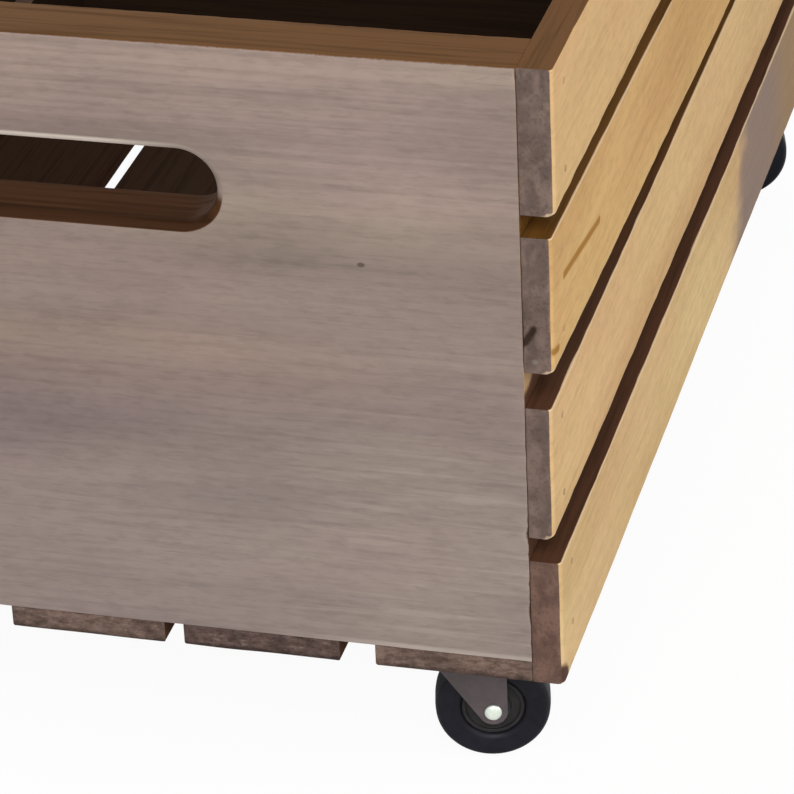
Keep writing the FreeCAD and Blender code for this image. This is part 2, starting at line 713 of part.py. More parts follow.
ON_KINGPIN = (top_plate, kingpin, fork)
ON_AXLE = (axle, axle_nut, wheel_bush, wheel_hub, tyre)
SWIVELS = (fork,) + ON_AXLE
CASTER_TURN = "(dims.caster_turn * 1 deg)"
for corner, corner_x, corner_y in CORNERS:
    pin_x, pin_y = kingpin_axis(corner_x, corner_y)
    axle_x = f"{pin_x} + dims.caster_trail * cos({CASTER_TURN})"
    axle_y = f"{pin_y} + dims.caster_trail * sin({CASTER_TURN})"
    for make in ON_KINGPIN + ON_AXLE:
        piece = make(f"{corner}_{make.__name__}")
        if make in SWIVELS:
            turn(piece, (0, 0, 1), CASTER_TURN)
        if make in ON_AXLE:
            place(piece, axle_x, axle_y, AXLE_Z)
        else:
            place(piece, pin_x, pin_y)
    swivel_balls(f"{corner}_swivel_balls", pin_x, pin_y)
group_of("caster_screws", caster_screw(), caster_screw_places())

# Check every object before anything is written
doc.recompute()
for thing in doc.Objects:
    if "Invalid" in thing.State or "Error" in thing.State:
        raise RuntimeError(f"{thing.Label} failed: {thing.State}")
for thing in sub_parts:
    if thing.Shape.isNull() or not thing.Shape.isValid() or not thing.Shape.Solids:
        raise RuntimeError(f"{thing.Label} has no valid solid")

os.makedirs("parts", exist_ok=True)
for thing in sub_parts:
    thing.Shape.exportStep(os.path.join("parts", f"{thing.Label}.step"))
print(len(sub_parts), "sub-parts,", sum(len(thing.Shape.Solids) for thing in sub_parts), "solids")
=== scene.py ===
"""Slatted wooden storage crate on swivel casters: its boards, nails, wheels and studio stage."""
import math

import bmesh
import bpy
import numpy as np
from bpy.props import FloatProperty, FloatVectorProperty, PointerProperty
from mathutils import Euler, Matrix, Vector


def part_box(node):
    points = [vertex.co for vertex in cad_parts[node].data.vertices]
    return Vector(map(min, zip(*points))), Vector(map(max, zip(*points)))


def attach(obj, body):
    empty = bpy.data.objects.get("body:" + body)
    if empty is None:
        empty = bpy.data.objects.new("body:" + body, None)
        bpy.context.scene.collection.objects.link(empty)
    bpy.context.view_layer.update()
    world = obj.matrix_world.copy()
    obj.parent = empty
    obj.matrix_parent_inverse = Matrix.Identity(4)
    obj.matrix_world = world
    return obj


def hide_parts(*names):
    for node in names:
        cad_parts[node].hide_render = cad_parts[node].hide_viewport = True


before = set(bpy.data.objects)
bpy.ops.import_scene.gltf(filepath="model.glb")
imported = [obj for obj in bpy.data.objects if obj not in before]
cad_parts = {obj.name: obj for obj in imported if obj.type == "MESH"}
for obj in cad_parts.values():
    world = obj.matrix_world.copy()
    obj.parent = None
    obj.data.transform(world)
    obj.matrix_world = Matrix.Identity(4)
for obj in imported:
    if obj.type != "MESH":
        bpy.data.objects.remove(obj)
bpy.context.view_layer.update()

bl_info = {
    "name": "Slatted Crate on Casters",
    "version": (1, 0, 0),
    "blender": (4, 5, 0),
    "location": "View3D > Sidebar > Crate",
    "description": "Builds the boards, nails, wheels and stage of a slatted wooden crate on casters",
    "category": "Object",
}

CORNERS = ("front_right", "front_left", "rear_right", "rear_left")
PANELS = ("front_end_panel", "rear_end_panel")
SLAT_ROWS = ("top", "upper", "lower", "base")
SIDE_SLATS = tuple(f"{side}_{row}_slat" for side in ("right", "left") for row in SLAT_ROWS)
FLOOR_SLATS = tuple(f"floor_slat_{place}" for place in ("right_edge", "right", "centre", "left", "left_edge"))
BRONZE_PIECES = ("top_plate", "fork")
ZINC_PIECES = ("kingpin", "swivel_balls", "axle_nut", "wheel_bush")
SLOPING_SLAT, LEVEL_TWIN = "right_upper_slat", "left_upper_slat"
QUARTER = math.pi / 2
MERGE_DISTANCE, SLIVER_LENGTH = 1e-6, 1e-7

# Marks on the wood, in metres: a middle and its reach each way, or a line's two ends and its reach
KNOT = (0.1147, -0.27, 0.2205), (0.0021, 0.01, 0.0014)
UPPER_PALE_PATCH = (0.13, -0.27, 0.262), (0.1, 0.03, 0.03)
LOWER_PALE_PATCH = (0.12, -0.27, 0.206), (0.1, 0.03, 0.02)
DARK_PATCH = (0.07, -0.27, 0.225), (0.06, 0.03, 0.018)
WARM_BAND = (0.02, -0.27, 0.176), (0.13, 0.03, 0.024)
BARE_EDGE = (0.1725, -0.266, 0.18), (0.004, 0.016, 0.009)
LONG_RESIN = (0.1837, -0.2511, 0.2133), (0.1837, -0.1923, 0.2056), 0.0024
SHORT_RESIN = (0.1837, -0.2695, 0.1918), (0.1837, -0.2617, 0.1897), 0.0022
STAINED_CORNER = (0.1845, -0.271, 0.051), (0.01, 0.0115, 0.0115)
CRACK = (0.1729, -0.2685, 0.1943), (0.1769, -0.2685, 0.2008), 0.003
SPLINTER = (0.183, -0.27, 0.2), (0.183, -0.27, 0.222), 0.0013
BRUISE = (0.1767, -0.27, 0.1874), (0.0016, 0.004, 0.0016)

# Where a slat's end has broken away: the middle, its reach each way and its depth
BROKEN_END = (0.1745, -0.27, 0.1975), (0.004, 0.02, 0.007), 0.003

# Where one tone gives way to the next: the start and the end of each change, in metres
OVER_BASE_ROW, OVER_LOWER_ROW, OVER_UPPER_ROW = (0.1045, 0.1075), (0.1685, 0.1715), (0.238, 0.243)
FLOOR_TO_SIDE = (0.1715, 0.1735)
PANEL_FOOT, PANEL_HEAD, PANEL_BOTTOM_EDGE = (0.1, 0.23), (0.22, 0.27), (0.062, 0.064)
LESS_COOL_RIGHT, STREAKED_RIGHT = (0.03, 0.13), (0.06, 0.13)
LIP_HIGHLIGHT_MIDDLE = (0.015, 0.055)
AMBER_GAPS, REAR_AMBER_GAP, REAR_AMBER_RUN = (0.2, 0.22), (0.15, 0.16), (-0.2, 0.1)
STAIN_RUN, STAIN_WARMS, STAIN_SLOPE, STAIN_FOOT = (0.095, 0.14), (0.15, 0.22), 0.54, 0.052
DARK_END_FROM, DARK_END_TO, DARKER_FOOT = (0.031, 0.036), (0.108, 0.112), (0.0525, 0.0545)

# Tints that multiply a colour
HUE_DRIFT, WARM_TINT = (1.0, 0.93, 1.0), (1.06, 1.03, 0.97)
COOL_LEFT, COOL_RIGHT = (0.91, 0.93, 1.02), (0.96, 1.0, 1.05)
BASE_ROW_TINT, UPPER_ROWS_TINT, SECOND_ROW_TINT = (1.02, 1.08, 1.1), (0.93, 0.89, 0.86), (1.0, 0.98, 0.87)
BASE_END_TINT, FLOOR_END_TINT, DARK_END_TINT = (0.95, 0.79, 0.73), (1.06, 1.0, 0.96), (0.68, 0.66, 0.72)

# Colours of marks, in linear light
KNOT_COLOUR, CORNER_STAIN = (0.09, 0.06, 0.045), (0.08, 0.042, 0.03)
STAIN, REAR_STAIN = (0.235, 0.17, 0.15), (0.285, 0.185, 0.105)
CRACK_COLOUR, SPLINTER_COLOUR = (0.026, 0.013, 0.008), (0.42, 0.22, 0.13)
BRUISE_COLOUR, PALE_SPECK = (0.3, 0.26, 0.24), (0.26, 0.2, 0.17)

# Camera, lamps (place, target and size) and floor
CAMERA_PLACE = (0.470396, -1.479440, 0.878598)
CAMERA_TURN = [math.radians(degrees) for degrees in (60.51434, 2.33505, 14.59045)]
LAMPS = {
    "key": ((0.55, -1.9, 1.75), (0.0, -0.2, 0.12), 1.3),
    "side": ((2.0, -0.5, 1.15), (0.1, 0.0, 0.12), 1.3),
    "rear": ((-1.7, 1.9, 0.5), (0.0, 0.1, 0.15), 0.8),
}
FLOOR_REACH = 4.0


def length_prop(name, description, default):
    """A length in metres."""
    return FloatProperty(name=name, description=description, default=default, unit="LENGTH", precision=5)


def colour_prop(name, description, default):
    """A colour property written as screen colour, 0 to 255, and kept as linear light."""
    linear = [((c / 255 + 0.055) / 1.055) ** 2.4 for c in default]
    return FloatVectorProperty(
        name=name, description=description, default=linear, subtype="COLOR", size=3, min=0.0, max=1.0)


class CrateSizes(bpy.types.PropertyGroup):
    """Sizes of the crate's fine detail and wear."""

    edge_round: length_prop("Edge rounding", "Worn rounding along the boards' long edges", 0.0009)
    lower_round: length_prop("Lower rounding", "Rounding of the scuffed slats' lower outer edges", 0.0022)
    joint_round: length_prop("Joint rounding", "Rounding of edges that lie against another board", 0.0002)
    end_round: length_prop("End rounding", "Rounding of the boards' sawn ends", 0.0004)
    worn_end: length_prop("Worn end", "Rounding of the side slats' outer faces towards their ends", 0.0026)
    chip_depth: length_prop("Chip depth", "How deep the edges are chipped", 0.0012)
    face_wave: length_prop("Face waviness", "How far the sawn faces dip", 0.0002)
    hole_length: length_prop("Hole length", "Hand hole, end to end", 0.125)
    hole_height: length_prop("Hole height", "Hand hole, top to bottom", 0.0285)
    hole_below_rim: length_prop("Hole below rim", "Rim down to the hand hole's upper edge", 0.0416)
    hole_round: length_prop("Hole rounding", "Rounding round the hand holes", 0.0035)
    tyre_half: length_prop("Tyre half width", "Middle of the wheel to the tyre's side", 0.0085)
    tyre_shoulder: length_prop("Tyre shoulder", "Rounding of the tread's edges", 0.0016)
    hub_half: length_prop("Hub half width", "Middle of the wheel to the hub's boss", 0.0086)
    axle_front: length_prop("Axle front", "Middle of the wheel to the face of the axle's head", 0.0122)
    axle_rear: length_prop("Axle rear", "Middle of the wheel to the axle's plain end", 0.0155)


class CrateColours(bpy.types.PropertyGroup):
    """Colours of the crate's finishes."""

    panel_pale: colour_prop("Panel pale", "Pale bands of the weathered end panels", (158, 141, 128))
    panel_deep: colour_prop("Panel deep", "Deep bands of the weathered end panels", (134, 119, 111))
    # Partly painted light: the golden tan of the side slats' outer faces is the wood's own tone, lightened
    # and warmed by painted light falling from the right.
    tan_pale: colour_prop("Tan pale", "Pale bands of the side slats' outer faces", (216, 183, 132))
    tan_deep: colour_prop("Tan deep", "Deep bands of the side slats' outer faces", (201, 164, 116))
    # Painted highlight: this pale colour lines the side slats' worn outer corners and the lower edges of
    # their ends.
    worn: colour_prop("Worn edge", "Pale worn outer edges of the side slats", (224, 196, 160))
    end_grain: colour_prop("End grain", "Sawn ends of the slats", (111, 94, 86))
    floor_slat: colour_prop("Floor slats", "Stained floor slats", (112, 98, 91))
    walnut: colour_prop("Walnut", "Rims of the panels and of the top slats", (107, 74, 44))
    gap_edge: colour_prop("Gap edge", "Board edges that face the gaps", (80, 51, 34))
    amber: colour_prop("Amber", "Yellower edges in the upper gaps", (104, 68, 22))
    # Painted shade: the inside and inner floor colours are darker than the wood's own brown, to stand in for
    # the shade inside the crate.
    inside: colour_prop("Inside", "Dark stain on the boards' inner faces", (45, 30, 20))
    inner_floor: colour_prop("Inner floor", "Dark stain on top of the floor slats", (62, 43, 31))
    bare: colour_prop("Bare", "Unstained patch on the front panel's right edge", (176, 143, 106))
    hole: colour_prop("Hole", "Sawn walls of the hand holes", (76, 47, 25))
    # Painted highlight: the lip colour is a pale line along the hand holes' upper edges and along the front
    # panel's bottom edge; it also tints pale streaks in the panel's foot.
    lip: colour_prop("Lip", "Rubbed upper edges of the hand holes", (206, 192, 180))
    resin: colour_prop("Resin", "Resin streaks in the side slats", (150, 102, 32))
    rubber: colour_prop("Rubber", "Tyres", (22, 22, 30))
    hub: colour_prop("Hub", "Wheel hubs", (44, 42, 42))
    bronze: colour_prop("Bronze", "Fork and top plate", (85, 75, 77))
    zinc: colour_prop("Zinc", "Axles, nuts and rivets", (232, 240, 229))
    nail: colour_prop("Nail", "Nail heads", (172, 140, 98))


class CrateStage(bpy.types.PropertyGroup):
    """Light and camera."""

    lens: FloatProperty(name="Lens", description="Focal length", default=183.134, unit="CAMERA")
    key_power: FloatProperty(name="Key", description="Power of the main lamp", default=37.0, unit="POWER")
    side_power: FloatProperty(name="Side", description="Power of the right lamp", default=18.0, unit="POWER")
    rear_power: FloatProperty(name="Rear", description="Power of the rear lamp", default=38.0, unit="POWER")
    ambient: FloatProperty(name="Ambient", description="Strength of the even light all round", default=0.27)


def sizes():
    return bpy.context.scene.crate_sizes


def colours():
    return bpy.context.scene.crate_colours


# Noise and grids
HASH_FACTORS = np.array([374761393, 668265263, 1274126177])
SEED_FACTOR, FOLD_FACTOR = 97463477, 1103515245


def hashed(whole, seed):
    """Each lattice point's own value from -1 to 1, by multiplying and folding its whole numbers."""
    mask = 0xFFFFFFFF
    folded = whole @ HASH_FACTORS + seed * SEED_FACTOR & mask
    folded = ((folded ^ (folded >> 13)) * FOLD_FACTOR) & mask
    return (folded ^ (folded >> 16)) / (mask / 2) - 1.0


def wander(points, per_metre, seed):
    """Smooth noise from -1 to 1: hashed values at the corners of a lattice, blended by eased fractions."""
    scaled = np.asarray(points) * np.asarray(per_metre, float)
    whole = np.floor(scaled).astype(np.int64)
    part = scaled - whole
    ease = part * part * (3 - 2 * part)
    total = 0.0
    for corner in np.ndindex(2, 2, 2):
        step = np.array(corner)
        weight = np.prod(np.where(step == 1, ease, 1 - ease), axis=-1)
        total = total + weight * hashed(whole + step, seed)
    return total


def surface(name, rings, attributes, wrap_rings=False):
    """A closed mesh from a grid of rings (ring, point, xyz), each ring a loop.

    Quads join each ring to the next, and the last to the first where wrap_rings is set. Collapsed rings are
    merged, and faces are turned so that the enclosed volume is positive.
    """
    count, around = rings.shape[:2]
    steps = count if wrap_rings else count - 1
    ring = np.arange(steps)[:, None]
    point = np.arange(around)[None, :]
    after = (point + 1) % around
    above = (ring + 1) % count
    corners = [ring * around + point, ring * around + after, above * around + after, above * around + point]
    quads = np.stack(corners, -1).reshape(-1, 4)
    flat = rings.reshape(-1, 3)
    a, b, c, d = (flat[quads[:, index]] for index in range(4))
    volume = np.einsum("ij,ij->i", a, np.cross(b, c)).sum() + np.einsum("ij,ij->i", a, np.cross(c, d)).sum()
    if volume < 0:
        quads = quads[:, ::-1]
    mesh = bpy.data.meshes.new(name)
    mesh.from_pydata(flat.tolist(), [], quads.tolist())
    for label, values in attributes.items():
        layer = mesh.attributes.new(label, "FLOAT", "POINT")
        layer.data.foreach_set("value", np.broadcast_to(values, rings.shape[:2]).astype(np.float32).ravel())
    work = bmesh.new()
    work.from_mesh(mesh)
    bmesh.ops.remove_doubles(work, verts=work.verts, dist=MERGE_DISTANCE)
    bmesh.ops.dissolve_degenerate(work, edges=work.edges, dist=SLIVER_LENGTH)
    work.to_mesh(mesh)
    work.free()
    mesh.polygons.foreach_set("use_smooth", np.ones(len(mesh.polygons), bool))
    mesh.update()
    return mesh


def add_piece(mesh, material, body, node):
    """Puts a mesh in the scene, riding on a body and standing for a CAD node."""
    piece = bpy.data.objects.new(mesh.name, mesh)
    bpy.context.scene.collection.objects.link(piece)
    mesh.materials.clear()
    mesh.materials.append(material)
    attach(piece, body)
    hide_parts(node)


def box_of(node):
    """A CAD node's two corners."""
    return (np.array(corner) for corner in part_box(node))


def board_shift(seed):
    """A share of 1, spread well from one seed to the next, that shifts a board's grain."""
    return np.full((1, 1), seed * 0.618 % 1.0)


# Slats
CORNER_SIGNS = np.array([(1, 1), (-1, 1), (-1, -1), (1, -1)], float)
END_RINGS, END_TURN_STEPS, SIDE_POINTS = 6, 4, 14
UNEVEN_END, UNEVEN_REACH = 0.0003, 0.004
LANE_SPACING = 3.7


def section_loops(half_x, half_z, radii, per_long, per_corner=5):
    """Rounded rectangles, one per station, and their outward normals.

    Each corner is a quarter circle of its own radius about a centre set in by that radius, and each side is
    a straight blend from one corner's end to the next one's start. half_x and half_z have one value per
    station, radii four.
    """
    turn = np.arange(4)[:, None] * QUARTER + np.linspace(0, QUARTER, per_corner)[None, :]
    arrow = np.stack([np.cos(turn), np.sin(turn)], -1)
    half = np.stack([half_x, half_z], -1)[:, None, :]
    centre = CORNER_SIGNS[None] * (half - radii[..., None])
    corner = centre[:, :, None, :] + radii[..., None, None] * arrow[None]
    share = np.linspace(0, 1, per_long + 2)[1:-1]
    first, second = corner[:, :, -1:, :], np.roll(corner, -1, axis=1)[:, :, :1, :]
    side = first + (second - first) * share[None, None, :, None]
    facing = np.broadcast_to(np.roll(arrow, -1, axis=0)[:, :1, :], (4, per_long, 2))
    loops = np.concatenate([corner, side], axis=2)
    normals = np.concatenate([arrow, facing], axis=1)
    return loops.reshape(len(half_x), -1, 2), normals.reshape(-1, 2)


def along_board(length, rounding, collapse):
    """Stations along a board: inset rings over the first end, its rounding, the run, and the other end.

    Returns each station's place along the board, how far its loop is inset, and whether it lies on a sawn
    end.
    """
    turn = np.linspace(0, QUARTER, END_TURN_STEPS)
    face_inset = np.linspace(collapse, rounding, END_RINGS + 1)[:-1]
    end_place = np.concatenate([np.zeros(END_RINGS), rounding * (1 - np.cos(turn))])
    end_inset = np.concatenate([face_inset, rounding * (1 - np.sin(turn))])
    tight, loose, middle_from = np.linspace(0.0002, 0.004, 14), np.linspace(0.005, 0.03, 20), 0.035
    near = rounding + np.concatenate([tight, loose])
    run = np.concatenate([near, np.linspace(middle_from, length - middle_from, 90), length - near[::-1]])
    place = np.concatenate([end_place, run, length - end_place[::-1]])
    inset = np.concatenate([end_inset, np.zeros(len(run)), end_inset[::-1]])
    end = np.ones(len(end_place))
    sawn = np.concatenate([end, np.zeros(len(run)), end])
    return place, inset, sawn


def corner_radii(y, outward, seed, scuffed_and_highlit):
    """Radii of the section's corners at each station.

    An outer corner's radius is its worn rounding times one plus a long and a short noise along the board,
    and a chip is added where a third noise is high. Inner corners keep the small rounding of a joint.
    """
    lane = np.arange(4)[None] * LANE_SPACING + seed
    lattice = np.stack(np.broadcast_arrays(0.0, y[:, None], lane), -1)
    wear = 1 + 0.25 * wander(lattice, (1, 16, 1), seed) + 0.2 * wander(lattice, (1, 110, 1), seed + 1)
    nick = np.clip(wander(lattice, (1, 60, 1), seed + 2) - 0.66, 0, 1)
    outer = CORNER_SIGNS @ np.array(outward) > 0
    lower = (CORNER_SIGNS[:, 1] < 0) & (scuffed_and_highlit > 0)
    worn = np.where(lower, sizes().lower_round, sizes().edge_round) * wear + sizes().chip_depth * nick
    return np.where(outer, worn, sizes().joint_round)


def roughen(rings, normals, inset, from_end, toward_middle, seed, chips):
    """Sinks a slat's faces, cuts its ends unevenly and breaks its chips away.

    The faces go in along their normals by a long and a short noise, the ends towards the middle by a noise
    that fades along the board, and a chip by its depth, fading to its reach.
    """
    long_dip = 0.5 + 0.5 * wander(rings, (60, 9, 60), seed + 5)
    short_dip = 0.2 + 0.2 * wander(rings, (300, 40, 300), seed + 6)
    dip = sizes().face_wave * (long_dip + short_dip) * (inset == 0)[:, None]
    rings[..., 0] -= dip * normals[None, :, 0]
    rings[..., 2] -= dip * normals[None, :, 1]
    near_end = np.clip(1 - from_end / UNEVEN_REACH, 0, 1)[:, None]
    uneven = 1 + wander(rings * np.array([1, 0, 1]), (55, 1, 55), seed + 7)
    rings[..., 1] += UNEVEN_END * uneven * toward_middle * near_end
    for spot, reach, depth in chips:
        away = np.linalg.norm((rings - np.array(spot)) / np.array(reach), axis=-1)
        bite = depth * np.clip(1 - away, 0, 1) * (0.75 + 0.5 * wander(rings, (700, 700, 700), seed + 8))
        rings[..., 1] += bite * toward_middle


def slat_values(normals, outward, inset, sawn, through, seed, rim, scuffed_and_highlit):
    """What the wood's shader reads at each point of a slat.

    A point is outside or inside by how far its normal turns to the weathered face or away from it, worn by
    the outer corners, and pale along the lower outer edge of a scuffed slat's ends. The pale tone of worn
    corners and of those end edges is a painted highlight.
    """
    facing = normals @ np.array(outward)
    upright = abs(outward[0])
    body = 1 - sawn[:, None]
    # Painted highlight: worn outer corners, and the lower outer edge of a scuffed slat's ends, get a pale
    # tone.
    worn = np.clip((facing + np.abs(normals[:, 1]) - 1.1) / 0.25, 0, 1) * upright
    worn = np.where(normals[:, 1] > 0, (1 - rim) * worn, worn)
    end_line = np.clip(1.5 - inset / 0.001, 0, 1)[:, None] * np.clip(-2 * normals[:, 1], 0, 1) * upright
    end_line = end_line * np.clip(2 * through - 0.9, 0, 1) * 0.7
    return {
        "outside": np.clip((facing - 0.35) / 0.4, 0, 1)[None] * body,
        "inside": np.clip((-facing - 0.35) / 0.4, 0, 1)[None] * body,
        "worn": worn[None] * body + end_line * sawn[:, None] * scuffed_and_highlit,
        "sawn_end": sawn[:, None],
        "rim": np.full((1, 1), rim),
        "board": board_shift(seed),
    }


def slat(node, outward, seed, tilt=0.0, rim=0.0, scuffed_and_highlit=0.0, chips=()):
    """One slat running front to back, as a rounded section carried along Y.

    outward is the row direction, in X and Z, of its weathered face, which on a side slat draws in by a
    quarter circle towards the ends. tilt is how much lower its rear end is, rim marks a slat that shows its
    upper edge, scuffed one with a rounder lower corner and a painted highlight along the lower outer edge of
    its ends, and each chip is a place, a reach and a depth where the wood has broken away.
    """
    low, high = box_of(node)
    middle = (low + high) / 2
    size = high - low - np.array([0, 0, tilt])
    half = size / 2
    thin = min(half[0], half[2])
    place, inset, sawn = along_board(size[1], sizes().end_round, thin)
    y = low[1] + place
    radii = corner_radii(y, outward, seed, scuffed_and_highlit) - inset[:, None]
    radii = np.clip(radii, 0, (thin - inset)[:, None])
    loops, normals = section_loops(half[0] - inset, half[2] - inset, radii, SIDE_POINTS)
    drop = -tilt * (place / size[1] - 0.5)
    from_end = np.minimum(place, size[1] - place)
    worn_end = sizes().worn_end * abs(outward[0])
    short = np.clip(worn_end - from_end, 0, None)
    drawn_in = worn_end - np.sqrt(worn_end ** 2 - short ** 2)
    through = (outward[0] * loops[..., 0] / half[0] + 1) / 2
    x = middle[0] + loops[..., 0] - outward[0] * drawn_in[:, None] * through
    z = middle[2] + loops[..., 1] + drop[:, None]
    rings = np.stack([x, np.broadcast_to(y[:, None], x.shape), z], -1)
    toward_middle = np.where(place < size[1] / 2, 1.0, -1.0)[:, None]
    roughen(rings, normals, inset, from_end, toward_middle, seed, chips)
    return surface(node, rings, slat_values(normals, outward, inset, sawn, through, seed, rim, scuffed_and_highlit))


# End panels
OUTLINE_STEP, CORNER_STEPS = 0.002, np.array([0.0007, 0.0014, 0.0024])
TORN_DEPTH, TORN_BELOW_RIM, TORN_FADE = 0.0022, 0.13, 0.05
RIM_BAND, DIP_FADE = 0.002, 0.03


def hand_hole_reach(cosine, sine, flat, radius):
    """Distance from the hole's middle to its edge along a direction.

    Along the level edges it is the half height over the sine. Beyond them the ray meets a half circle about
    the point at flat: the root of the quadratic for a circle seen from outside its centre.
    """
    level = radius / np.maximum(np.abs(sine), 1e-9)
    inner = np.maximum(radius ** 2 - (flat * sine) ** 2, 0)
    end = flat * np.abs(cosine) + np.sqrt(inner)
    return np.where(level * np.abs(cosine) <= flat, level, end)


def panel_outline(half, low, high, step):
    """Points round the panel's rectangle at even steps, with tighter steps by its corners."""
    def edge(first, second):
        length = np.linalg.norm(second - first)
        even = np.linspace(0, 1, int(length / step) + 1)[:-1]
        tight = CORNER_STEPS / length
        share = np.unique(np.concatenate([even, tight, 1 - tight]))
        return first + (second - first) * share[:, None]

    corners = np.array([(half, low), (half, high), (-half, high), (-half, low)])
    return np.concatenate([edge(corners[index], corners[(index + 1) % 4]) for index in range(4)])


def panel_edge_rounding(outline, half, bottom, top, seed, torn):
    """How far the panel's outer edge is rounded at each point of its outline.

    It is slight where slats lie against the panel, grows along the rim to the right, and where torn is set
    it is ragged low on the right side.
    """
    across, up = outline.T
    place = np.stack([across, np.full(len(outline), seed * 1.7), up], -1)
    rough = 1 + 0.3 * wander(place, (60, 1, 60), seed) + 0.2 * wander(place, (340, 1, 340), seed + 1)
    on_rim = np.clip((up - top) / 0.01 + 1, 0, 1)
    rim = sizes().edge_round * (1 + 0.7 * across / half) * on_rim
    right = np.clip((across - half) / 0.001 + 1, 0, 1)
    low = np.clip((top - TORN_BELOW_RIM - up) / TORN_FADE, 0, 1) * np.clip((up - bottom) / 0.01, 0, 1)
    ragged = np.clip(wander(place, (1, 1, 260), seed + 3) + 0.6 * wander(place, (1, 1, 700), seed + 4), 0, 1)
    return sizes().joint_round * rough + rim * rough + TORN_DEPTH * ragged * right * low * torn


def end_panel(node, front, seed):
    """An end board with its hand hole, as a ring-shaped surface.

    One parameter goes round the board, along rays from the hole's middle to the rectangle. The other goes
    round the wall: over the outer face from hole to edge, round the edge, back over the inner face, and
    through the hole. The hole's value is 1 on its walls and 2 on its lower lip, where the shader darkens it
    as painted shade. Along the hole's upper edge the shader paints a pale highlight.
    """
    low, high = box_of(node)
    half, thick = (high[0] - low[0]) / 2, high[1] - low[1]
    hole_radius, lip = sizes().hole_height / 2, sizes().hole_round
    hole_flat = sizes().hole_length / 2 - hole_radius
    hole_z = high[2] - sizes().hole_below_rim - hole_radius
    bottom, top = low[2] - hole_z, high[2] - hole_z
    outline = panel_outline(half, bottom, top, OUTLINE_STEP)
    ray = outline / np.linalg.norm(outline, axis=1)[:, None]
    edge = panel_edge_rounding(outline, half, bottom, top, seed, front)
    below = np.clip(0.2 - 4 * ray[:, 1], 0, 1)
    above = np.clip(4 * ray[:, 1] - 0.4, 0, 1)

    def at(inset, hole_grow, share):
        """The point a share of the way from the hole, grown by hole_grow, to the rectangle, inset."""
        across = np.clip(outline[:, 0], inset - half, half - inset)
        up = np.clip(outline[:, 1], bottom + inset, top - inset)
        reach = hand_hole_reach(ray[:, 0], ray[:, 1], hole_flat, hole_radius + hole_grow)
        inner = ray * reach[:, None]
        return inner + (np.stack([across, up], -1) - inner) * share

    wall = []

    def row(point, depth, outside=0.0, inside=0.0, hole=0.0, rubbed=0.0):
        """Adds one loop round the board, at a depth behind its outer face."""
        wall.append((point, *np.broadcast_arrays(depth + 0 * edge, outside, inside, hole, rubbed)))

    spread = np.concatenate([[0, 0.01, 0.025, 0.05], np.linspace(0.08, 0.92, 30), [0.95, 0.975, 0.99, 1]])
    quarter = np.linspace(0, QUARTER, 7)
    for share in spread:
        row(at(edge, lip, share), 0.0, outside=1)
    for turn in quarter[1:]:
        row(at(edge * (1 - np.sin(turn)), lip, 1), edge * (1 - np.cos(turn)), outside=1 - turn / QUARTER)
    for share in np.linspace(0, 1, 7)[1:-1]:
        row(at(0.0, lip, 1), edge + (thick - 2 * edge) * share)
    for turn in quarter:
        row(at(edge * (1 - np.cos(turn)), lip, 1), thick - edge * (1 - np.sin(turn)), inside=turn / QUARTER)
    for share in spread[::-1]:
        row(at(edge, lip, share), thick, inside=1)
    for turn in quarter[1:]:
        row(at(edge, lip * (1 - np.sin(turn)), 0), thick - lip * (1 - np.cos(turn)), hole=1)
    for share in np.linspace(0, 1, 8)[1:-1]:
        row(at(edge, 0.0, 0), thick - lip - (thick - 2 * lip) * share, hole=1)
    for turn in quarter[:-1]:
        # Painted shade: below the hole the hole value rises to 2, which the shader darkens.
        stained = below + (1 - below) * max(0.0, 1 - 2.5 * turn / QUARTER)
        point, depth = at(edge, lip * (1 - np.cos(turn)), 0), lip * (1 - np.sin(turn))
        # Painted highlight: a pale line along the upper edge of the hole.
        rubbed = above * min(1.0, 2 * turn / QUARTER)
        row(point, depth, outside=1 - stained, hole=stained * (1 + below), rubbed=rubbed)
    flat, depth, outside, inside, hole, rubbed = (np.array(column) for column in zip(*wall))
    y = low[1] + depth if front else high[1] - depth
    rings = np.stack([flat[..., 0] + (low[0] + high[0]) / 2, y, flat[..., 1] + hole_z], -1)
    from_edge = np.minimum(half - np.abs(flat[..., 0]), np.minimum(flat[..., 1] - bottom, top - flat[..., 1]))
    dip = sizes().face_wave * (0.5 + 0.5 * wander(rings, (7, 1, 45), seed + 5))
    rings[..., 1] += (dip if front else -dip) * np.clip(from_edge / DIP_FADE, 0, 1) * outside
    rim = np.clip((flat[..., 1] - top) / RIM_BAND + 2, 0, 1)
    values = {"outside": outside, "inside": inside, "hole": hole, "rubbed": rubbed, "rim": rim}
    values["board"] = board_shift(seed)
    return surface(node, rings, values, wrap_rings=True)


# Turned pieces
TYRE_STEPS, HUB_STEPS, AXLE_STEPS = 96, 72, 48


def eased(profile, rounding):
    """A closed profile with each corner replaced by a curve between two points set back from it."""
    points = np.array(profile, float)
    before, after = np.roll(points, 1, axis=0) - points, np.roll(points, -1, axis=0) - points
    back = np.minimum(np.linalg.norm(before, axis=1) * 0.45, rounding)[:, None]
    on = np.minimum(np.linalg.norm(after, axis=1) * 0.45, rounding)[:, None]
    first = points + before / np.linalg.norm(before, axis=1)[:, None] * back
    last = points + after / np.linalg.norm(after, axis=1)[:, None] * on
    share = np.linspace(0, 1, 5)[None, :, None]
    weights = (1 - share) ** 2, 2 * share * (1 - share), share ** 2
    curve = sum(weight * point[:, None] for weight, point in zip(weights, (first, points, last)))
    return curve.reshape(-1, 2)


